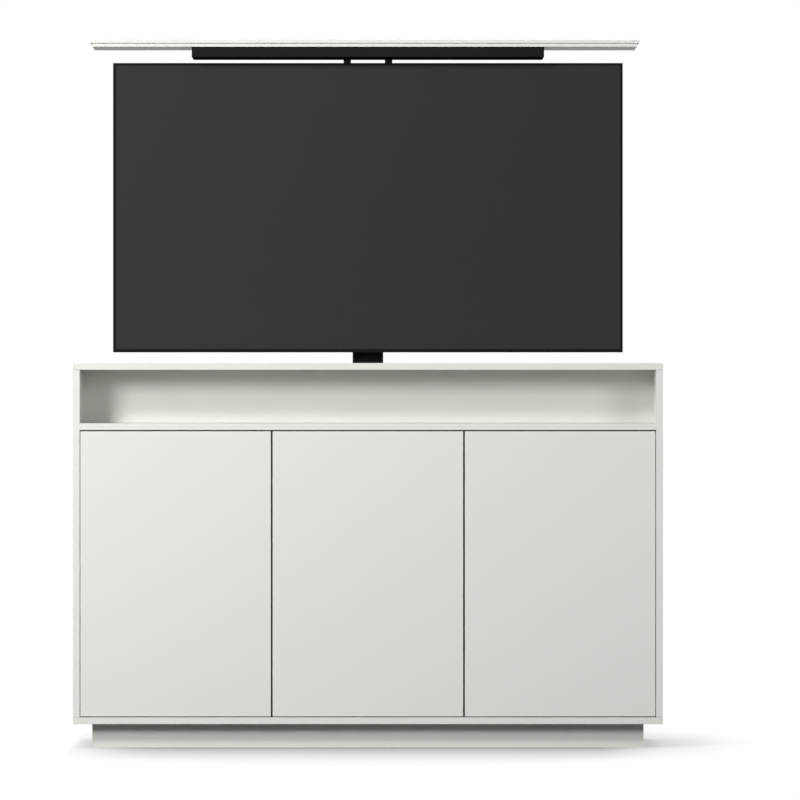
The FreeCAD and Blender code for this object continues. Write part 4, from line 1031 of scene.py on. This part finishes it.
def cover_bosses(low, high):
    """Four threaded bosses behind the arms' bolts."""
    centres = [(sx * SCREEN_HOLES_X / 2, 0, SCREEN_MIDDLE + sz * SCREEN_HOLES_Z / 2) for sx in SIDES for sz in SIDES]
    return [cut_out(add_rod(BOSS_RADIUS, centre, Y, low.y, high.y - COVER_WALL / 2),
                    add_rod(BOLT_BORE, centre, Y, low.y - MM, high.y, sides=20)) for centre in centres]


def cover_screws(cover, low, high):
    """Sink a well for each rim screw into the cover; returns the screws."""
    back = SCREEN_HIGH.y + COVER_EDGE
    places = [(side * (high.x - RIM_INSET), z) for side in SIDES
              for z in (low.z + RIM_INSET, (low.z + high.z) / 2, high.z - RIM_INSET)]
    places += [(x, z) for x in RIM_SCREWS_X for z in (low.z + FOOT_INSET, high.z - RIM_INSET)]
    cut_out(cover, *(add_rod(WELL_RADIUS, (x, 0, z), Y, back - WELL_DEPTH, back + MM, sides=24) for x, z in places))
    return screws_at([((x, back - WELL_DEPTH, z), 1) for x, z in places], Y, *COVER_SCREW)


class CABINET_OT_screen(bpy.types.Operator):
    """Make the screen's back cover"""
    bl_idname = "cabinet.screen"
    bl_label = "Screen cover"

    def execute(self, context):
        finish_piece(back_cover(), "tv_back_cover")
        return {"FINISHED"}


# ---------------------------------------------------------------- hinges
CUP_WALL = 0.6 * MM
RIM_WIDTH = 0.8 * MM                # of the cup's rim
WING_WIDTH = 18 * MM
WING_THICKNESS = 1.4 * MM
WING_SCREW_Z = 22 * MM              # from the cup's middle
WING_SCREW = (3.4 * MM, 1.0 * MM, 1.6 * MM, 2 * MM)
LUG_WIDTH = 5.2 * MM
LUG_THICKNESS = 3 * MM
LUG_GAP = 0.5 * MM
PIN_BORE = 1.05 * MM
STRIP = 1.6 * MM                    # sheet of the gooseneck
STRIP_WIDTH = 10 * MM
STRIP_FOLD = 2 * MM
LEG_ANGLE = math.radians(28)        # of the first leg, from the door's plane
KNUCKLE_RADIUS = 2.2 * MM
BAR_THICKNESS = 6 * MM
BAR_WIDTH = 12 * MM
BAR_SCREW = (3.2 * MM, 0.8 * MM, 1.5 * MM, 3 * MM)
BAR_SCREWS = (14 * MM, 12 * MM)     # from the bar's front and back end
PLATE_WIDTH = 16 * MM
PLATE_WING = 16 * MM


def hinge_cup(box, pin):
    """Pressed cup with a flange, two screws and the lugs that hold the pin."""
    low, high = box
    middle = (low + high) / 2
    radius = (high.x - low.x) / 2
    mouth = high.y - WING_THICKNESS
    cup = add_rod(radius, middle, Y, low.y, mouth + 0.3 * MM, FINE_SIDES)
    bevel(cup, lies_at(Y, low.y), 2 * MM)
    delete_faces(cup, lambda face: face.normal.y > ALIGNED)
    give_wall(cup, CUP_WALL)
    flange = rounded_block((middle.x - WING_WIDTH / 2, mouth, low.z), (middle.x + WING_WIDTH / 2, high.y, high.z),
                           6 * MM, Y)
    weld(flange, add_rod(radius + RIM_WIDTH, middle, Y, mouth, high.y, FINE_SIDES))
    cut_out(flange, add_rod(radius - CUP_WALL, middle, Y, mouth - MM, high.y + MM, FINE_SIDES))
    soften(flange, 0.3 * MM)
    lugs = []
    for side in SIDES:
        near = pin.z + side * (STRIP_WIDTH / 2 + LUG_GAP)
        far = near + side * LUG_THICKNESS
        lug = add_block((pin.x - LUG_WIDTH / 2, low.y + CUP_WALL / 2, min(near, far)),
                        (pin.x + LUG_WIDTH / 2, pin.y + LUG_WIDTH / 2, max(near, far)))
        bevel(lug, lies_at(Y, pin.y + LUG_WIDTH / 2, Z), 1.8 * MM)
        lugs.append(cut_out(lug, add_rod(PIN_BORE, pin, Z, near - 5 * MM, near + 5 * MM, sides=16)))
    heads = screws_at([((middle.x, high.y, middle.z + side * WING_SCREW_Z), 1) for side in SIDES], Y, *WING_SCREW)
    return soften(joined([cup, flange, *lugs, *heads]))


def hinge_arm(box, pin, plate):
    """Bent strip from the pin out of the cup and back to a bar along the board."""
    back_y = box[1].y
    start_y, board_x = plate[0].y, plate[1].x
    bend_x = box[1].x - STRIP / 2
    return_y = start_y + STRIP / 2
    leg_y = pin.y + (bend_x - pin.x) * math.tan(LEG_ANGLE)
    z0, z1 = pin.z - STRIP_WIDTH / 2, pin.z + STRIP_WIDTH / 2
    neck = bent_strip([(pin.x, pin.y), (bend_x, leg_y), (bend_x, return_y), (board_x + MM, return_y)],
                      z0, z1, STRIP_FOLD, STRIP)
    weld(neck, add_rod(KNUCKLE_RADIUS, pin, Z, z0, z1, sides=24))
    cut_out(neck, add_rod(PIN_BORE, pin, Z, pin.z - STRIP_WIDTH, pin.z + STRIP_WIDTH, sides=16))
    bar_x = board_x + BAR_THICKNESS
    bar = add_block((board_x, start_y, pin.z - BAR_WIDTH / 2), (bar_x, back_y, pin.z + BAR_WIDTH / 2))
    bevel(bar, lies_at(X, bar_x), 1.5 * MM)
    heads = screws_at([((bar_x, y, pin.z), 1) for y in (start_y + BAR_SCREWS[0], back_y - BAR_SCREWS[1])],
                      X, *BAR_SCREW)
    return soften(joined([neck, bar, *heads]))


def hinge_plate(box):
    """Cross-shaped mounting plate with rounded ends."""
    low, high = box
    middle = (low + high) / 2
    spine = rounded_block((low.x, low.y, middle.z - PLATE_WIDTH / 2), (high.x, high.y, middle.z + PLATE_WIDTH / 2),
                          4 * MM, X)
    weld(spine, rounded_block((low.x, middle.y - PLATE_WING / 2, low.z),
                              (high.x, middle.y + PLATE_WING / 2, high.z), 6 * MM, X))
    return soften(spine, 0.6 * MM)


def to_hinge(piece, origin, target):
    """Copy a hinge part from the first hinge to another one, mirrored for the door hung on its right."""
    flipped = target.x > SIDE_X / 2
    start = Vector((-origin.x, origin.y, origin.z)) if flipped else origin
    return copy_of(piece, target - start, X if flipped else None)


class CABINET_OT_hinges(bpy.types.Operator):
    """Make the concealed hinges: cups, bent arms, mounting plates and screws"""
    bl_idname = "cabinet.hinges"
    bl_label = "Hinges"

    def execute(self, context):
        pins = {door: [(low + high) / 2 for low, high in loose_boxes("hinge_pins_" + door)] for door in DOORS}
        first = pins["left"][0]
        plate_box = nearest(loose_boxes("hinge_plates"), first)
        cup = hinge_cup(nearest(loose_boxes("hinge_cups_left"), first), first)
        arm = hinge_arm(nearest(loose_boxes("hinge_arms"), first), first, plate_box)
        plate = hinge_plate(plate_box)
        for door in DOORS:
            finish_piece(joined([to_hinge(cup, first, pin) for pin in pins[door]]), "hinge_cups_" + door)
        for master, node in ((arm, "hinge_arms"), (plate, "hinge_plates")):
            finish_piece(joined([to_hinge(master, first, pin) for door in DOORS for pin in pins[door]]), node)
        discard(cup, arm, plate)
        finish_piece(screws_in("hinge_plate_screws", X), "hinge_plate_screws")
        return {"FINISHED"}


# ---------------------------------------------------------------- latches, rear screws and cable outlet
LATCH_GROOVES = (12 * MM, 22 * MM, 32 * MM, 42 * MM)
LATCH_GROOVE = (4 * MM, 4 * MM)     # across and along
LATCH_GROOVE_X = 6 * MM
LATCH_CORE = 5.6 * MM               # half width that the grooves leave whole
PLUNGER_RADIUS = 3 * MM
PLUNGER_FIT = 0.1 * MM
PLUNGER_CAP = 3 * MM
SCREW_HEAD = 1.5 * MM
SCREW_SHANK = 2 * MM
END_SHARE = 0.49                    # of a screw's length, from its middle to where its end begins
WIDER = 1.2                         # a point this much further out, squared, is on the head
GROMMET_WALL = 3 * MM
GROMMET_FLANGE = 4 * MM
GROMMET_SIDES = 64
GROMMET_SLIT = (1.5 * MM, 5 * MM)   # half its width, and its length


def latch_body(box):
    """Latch housing with side grooves and a bore for its plunger."""
    low, high = box
    middle = (low + high) / 2
    body = rounded_block(low, high, 2.5 * MM, Y)
    bevel(body, lies_at(Y, low.y), 1 * MM)
    width, length = LATCH_GROOVE
    grooves = [add_block((middle.x + side * LATCH_GROOVE_X - width / 2, low.y + y, low.z - MM),
                         (middle.x + side * LATCH_GROOVE_X + width / 2, low.y + y + length, high.z - 3 * MM))
               for side in SIDES for y in LATCH_GROOVES]
    core = add_block((middle.x - LATCH_CORE, low.y, low.z - 2 * MM), (middle.x + LATCH_CORE, high.y, high.z))
    cut_out(body, cut_out(joined(grooves), core))
    cut_out(body, add_rod(PLUNGER_RADIUS + PLUNGER_FIT, middle, Y, low.y - MM, high.y - 5 * MM))
    return soften(body)


def plunger(node):
    """Plunger with a rounded cap on its stem."""
    low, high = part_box(node)
    middle = (low + high) / 2
    cap = add_rod((high.x - low.x) / 2, middle, Y, low.y, low.y + PLUNGER_CAP)
    bevel(cap, lies_at(Y, low.y), 1 * MM)
    weld(cap, add_rod(PLUNGER_RADIUS, middle, Y, low.y + 2 * MM, high.y))
    return soften(cap, 0.2 * MM)


def screws_in(node, axis):
    """A cross-recessed screw for each loose solid of a CAD node, head towards the open side."""
    boxes = loose_boxes(node)
    places = []
    for low, high in boxes:
        side = head_side(node, axis, low, high)
        seat = (low + high) / 2
        seat[axis] = high[axis] - SCREW_HEAD if side > 0 else low[axis] + SCREW_HEAD
        places.append((seat, side))
    size = boxes[0][1] - boxes[0][0]
    return joined(screws_at(places, axis, size.z / 2, SCREW_HEAD, SCREW_SHANK, size[axis] - SCREW_HEAD))


def head_side(node, axis, low, high):
    """+1 or -1: the end of a screw's box at which its mesh is widest."""
    middle = (low + high) / 2
    reach = (high[axis] - low[axis]) * END_SHARE
    wide, side = 0.0, 1
    for vert in NODES[node].data.vertices:
        point = NODES[node].matrix_world @ vert.co
        inside = all(low[i] - TOUCH < point[i] < high[i] + TOUCH for i in (X, Y, Z))
        if inside and abs(point[axis] - middle[axis]) > reach:
            spread = sum((point[i] - middle[i]) ** 2 for i in (X, Y, Z) if i != axis)
            if spread > wide * WIDER:
                wide = spread
                side = 1 if point[axis] > middle[axis] else -1
    return side


def cable_grommet():
    """Flanged ring with a rounded lip and four snap fingers."""
    low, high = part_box("cable_grommet")
    middle = (low + high) / 2
    panel_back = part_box("rear_panel")[1].y
    flange_radius = (high.x - low.x) / 2
    radius = flange_radius - GROMMET_FLANGE
    ring = add_rod(flange_radius, middle, Y, panel_back, high.y, GROMMET_SIDES)
    bevel(ring, lies_at(Y, high.y), 1.2 * MM)
    weld(ring, add_rod(radius, middle, Y, low.y, panel_back + MM, GROMMET_SIDES))
    cut_out(ring, add_rod(radius - GROMMET_WALL, middle, Y, low.y - MM, high.y + MM, GROMMET_SIDES))
    half, length = GROMMET_SLIT
    cut_out(ring, *(add_block((x0, low.y - MM, z0), (x1, low.y + length, z1)) for x0, x1, z0, z1 in (
        (middle.x - half, middle.x + half, low.z, high.z), (low.x, high.x, middle.z - half, middle.z + half))))
    return soften(ring, 0.2 * MM)


class CABINET_OT_fittings(bpy.types.Operator):
    """Make the latches, the rear panel's screws and the cable outlet's ring"""
    bl_idname = "cabinet.fittings"
    bl_label = "Latches, rear screws, cable ring"

    def execute(self, context):
        boxes = loose_boxes("latch_bodies")
        master = latch_body(boxes[0])
        bodies = [copy_of(master, low - boxes[0][0]) for low, high in boxes]
        discard(master)
        finish_piece(joined(bodies), "latch_bodies")
        for door in DOORS:
            finish_piece(plunger("latch_plunger_" + door), "latch_plunger_" + door)
        finish_piece(screws_in("rear_panel_screws", Y), "rear_panel_screws")
        finish_piece(cable_grommet(), "cable_grommet")
        return {"FINISHED"}


# ---------------------------------------------------------------- stage
FLOOR_SIZE = 60.0
SHADOW_START = 0.7                  # from the floor's middle to where the shadow begins to fade
SHADOW_END = 1.02
CONTACT_REACH = 0.54                # how far the painted shade round the plinth spreads
CONTACT_POWER = 1.22
CONTACT_SAMPLES = 8
# share of the painted shade at places on X
CONTACT_WEIGHTS = ((-0.712, 0.0), (-0.695, 0.3), (-0.635, 0.5), (-0.58, 0.8), (-0.5, 1.0), (0.555, 1.0),
                   (0.66, 0.42), (0.8, 0.4), (0.89, 0.0))
PAPER_SHARE = 0.22                  # of the lamps' own light in what the camera sees of the floor
PAPER_START = -0.72                 # left of here the camera sees only the white glow, painted light over the lamps' shadow there
PAPER_FULL = -0.58
CAMERA_WHITE = 1.0
BOUNCE = 0.15                       # how much light the floor throws back on the object
AIM_HEIGHT = 1.0                    # of the point on the doors' plane that all lamps face
LAMPS = {                           # place, width and height
    "high": ((-3.0, -4.2, 4.0), 1.2, 1.2),
    "key": ((-3.0, -4.2, 2.0), 1.3, 1.0),
    "fill": ((3.4, -4.2, 1.9), 1.6, 1.4),
    "rear": ((1.0, 3.8, 4.5), 2.4, 2.0),
}
SENSOR_WIDTH = 36.0
CAMERA_REACH = 6                    # in camera distances


def seen_directly(tree):
    """1 on rays that show the background: from the camera, or by reflection or through glass."""
    path = node_in(tree, "ShaderNodeLightPath").outputs
    shown = math_in(tree, "MAXIMUM", path["Is Camera Ray"], path["Is Glossy Ray"])
    return math_in(tree, "MAXIMUM", shown, path["Is Transmission Ray"])


def smooth_step(tree, value, start, end, top=1.0):
    """0 up to one value, the top from another one on, and a smooth rise between them."""
    return node_in(tree, "ShaderNodeMapRange", {"Value": value, "From Min": start, "From Max": end, "To Max": top},
                   interpolation_type="SMOOTHSTEP").outputs["Result"]


def blended(tree, share, first, second):
    """Mix of two shaders, with the second one's share."""
    return node_in(tree, "ShaderNodeMixShader", {0: share, 1: first.outputs[0], 2: second.outputs[0]})


def painted_contact_shade(tree, place_x):
    """Painted shade: the floor's glow darkened by ambient occlusion in the corner between the floor and the plinth,
    weaker past the plinth's ends.
    """
    corner = node_in(tree, "ShaderNodeAmbientOcclusion", {"Distance": CONTACT_REACH}, samples=CONTACT_SAMPLES)
    lost = math_in(tree, "SUBTRACT", math_in(tree, "POWER", corner.outputs["AO"], CONTACT_POWER), 1.0)
    weight = node_in(tree, "ShaderNodeValToRGB", {"Fac": math_in(tree, "MULTIPLY_ADD", place_x, 0.5, 0.5)})
    stops = weight.color_ramp.elements
    while len(stops) < len(CONTACT_WEIGHTS):
        stops.new(0.5)
    for stop, (x, share) in zip(stops, CONTACT_WEIGHTS):
        stop.position = (x + 1) / 2
        stop.color = (share, share, share, 1.0)
    return math_in(tree, "MULTIPLY_ADD", lost, weight.outputs["Color"], 1.0)


def floor_material(stage):
    """Pale floor, white further out; near the cabinet the camera sees part of the lamps' real shadow and a painted
    shade round the plinth.
    """
    material = bpy.data.materials.new("floor_paper")
    tree, output = emptied_tree(material, "ShaderNodeOutputMaterial")
    place = object_place(tree)
    place_x = node_in(tree, "ShaderNodeSeparateXYZ", {0: place}).outputs["X"]
    distance = node_in(tree, "ShaderNodeVectorMath", {0: place}, operation="LENGTH").outputs["Value"]
    seen = seen_directly(tree)
    paper = node_in(tree, "ShaderNodeBsdfDiffuse", {"Color": (*stage.floor_colour, 1.0)})
    # painted shade: a white glow of the floor, darkened round the plinth
    painted_shade_glow = node_in(tree, "ShaderNodeEmission", {"Strength": painted_contact_shade(tree, place_x)})
    shown = blended(tree, smooth_step(tree, place_x, PAPER_START, PAPER_FULL, PAPER_SHARE), painted_shade_glow, paper)
    dim = node_in(tree, "ShaderNodeBsdfDiffuse", {"Color": (BOUNCE, BOUNCE, BOUNCE, 1.0)})
    near = blended(tree, seen, dim, shown)
    white = node_in(tree, "ShaderNodeEmission", {"Strength": CAMERA_WHITE})
    away = math_in(tree, "MULTIPLY", smooth_step(tree, distance, SHADOW_START, SHADOW_END), seen)
    feed(output, {"Surface": blended(tree, away, near, white).outputs[0]})
    return material


def make_floor(stage):
    """Wide floor at the plinth's foot."""
    leave_edit_mode()
    bpy.ops.mesh.primitive_plane_add(size=FLOOR_SIZE, location=(0, 0, 0))
    floor = bpy.context.object
    floor.name = "floor"
    floor.data.materials.append(floor_material(stage))


def make_surroundings(stage):
    """Soft even light from all round, with a white background behind the object."""
    world = bpy.data.worlds.new("white_studio")
    bpy.context.scene.world = world
    tree, output = emptied_tree(world, "ShaderNodeOutputWorld")
    soft, white = (node_in(tree, "ShaderNodeBackground", {"Color": (1, 1, 1, 1), "Strength": strength})
                   for strength in (stage.ambient, CAMERA_WHITE))
    feed(output, {"Surface": blended(tree, seen_directly(tree), soft, white).outputs[0]})


def make_lamps(stage):
    """Two softboxes on the left, one above the other, and weaker ones on the right and behind."""
    for name, (place, width, height) in LAMPS.items():
        leave_edit_mode()
        bpy.ops.object.light_add(type="AREA", location=place)
        lamp = bpy.context.object
        lamp.name = name + "_softbox"
        towards = Vector((0.0, FRONT_Y, AIM_HEIGHT)) - Vector(place)
        lamp.rotation_euler = towards.to_track_quat("-Z", "Y").to_euler()
        lamp.data.shape = "RECTANGLE"
        lamp.data.size = width
        lamp.data.size_y = height
        lamp.data.energy = getattr(stage, name + "_power")


def make_camera(stage):
    """Long lens, level, on the cabinet's centre line."""
    place = (0.0, FRONT_Y - stage.camera_distance, stage.camera_height)
    leave_edit_mode()
    bpy.ops.object.camera_add(location=place, rotation=(math.pi / 2, 0, 0))
    camera = bpy.context.object
    camera.name = "front_camera"
    camera.data.sensor_width = SENSOR_WIDTH
    camera.data.lens = SENSOR_WIDTH * stage.camera_distance / stage.view_width
    camera.data.shift_x = stage.shift_x
    camera.data.shift_y = stage.shift_y
    camera.data.clip_end = stage.camera_distance * CAMERA_REACH
    bpy.context.scene.camera = camera
    bpy.context.scene.view_settings.view_transform = "Standard"


class CABINET_OT_stage(bpy.types.Operator):
    """Make the floor, the lamps, the surrounding light and the camera"""
    bl_idname = "cabinet.stage"
    bl_label = "Stage"

    def execute(self, context):
        stage = context.scene.cabinet_stage
        make_floor(stage)
        make_surroundings(stage)
        make_lamps(stage)
        make_camera(stage)
        return {"FINISHED"}


# ---------------------------------------------------------------- panel and registration
OPERATORS = (CABINET_OT_boards, CABINET_OT_column, CABINET_OT_drive, CABINET_OT_mount, CABINET_OT_screen,
             CABINET_OT_hinges, CABINET_OT_fittings, CABINET_OT_stage)


class CABINET_PT_panel(bpy.types.Panel):
    """Buttons and settings of the cabinet"""
    bl_idname = "CABINET_PT_panel"
    bl_label = "Cabinet"
    bl_space_type = "VIEW_3D"
    bl_region_type = "UI"
    bl_category = "Cabinet"

    def draw(self, context):
        layout = self.layout
        for operator in OPERATORS:
            layout.operator(operator.bl_idname)
        for group in (context.scene.cabinet_finish, context.scene.cabinet_stage):
            box = layout.box()
            for label in group.bl_rna.properties.keys():
                if label not in ("rna_type", "name"):
                    box.prop(group, label)


CLASSES = (CabinetFinish, CabinetStage, *OPERATORS, CABINET_PT_panel)


def register():
    """Register the classes and hang the settings on the scene."""
    for cls in CLASSES:
        bpy.utils.register_class(cls)
    bpy.types.Scene.cabinet_finish = PointerProperty(type=CabinetFinish)
    bpy.types.Scene.cabinet_stage = PointerProperty(type=CabinetStage)


def unregister():
    """Take the settings off the scene and unregister the classes."""
    del bpy.types.Scene.cabinet_stage
    del bpy.types.Scene.cabinet_finish
    for cls in reversed(CLASSES):
        bpy.utils.unregister_class(cls)


def main():
    """Build everything."""
    register()
    bpy.ops.cabinet.boards()
    bpy.ops.cabinet.column()
    bpy.ops.cabinet.drive()
    bpy.ops.cabinet.mount()
    bpy.ops.cabinet.screen()
    bpy.ops.cabinet.hinges()
    bpy.ops.cabinet.fittings()
    bpy.ops.cabinet.stage()


if __name__ == "__main__":
    main()
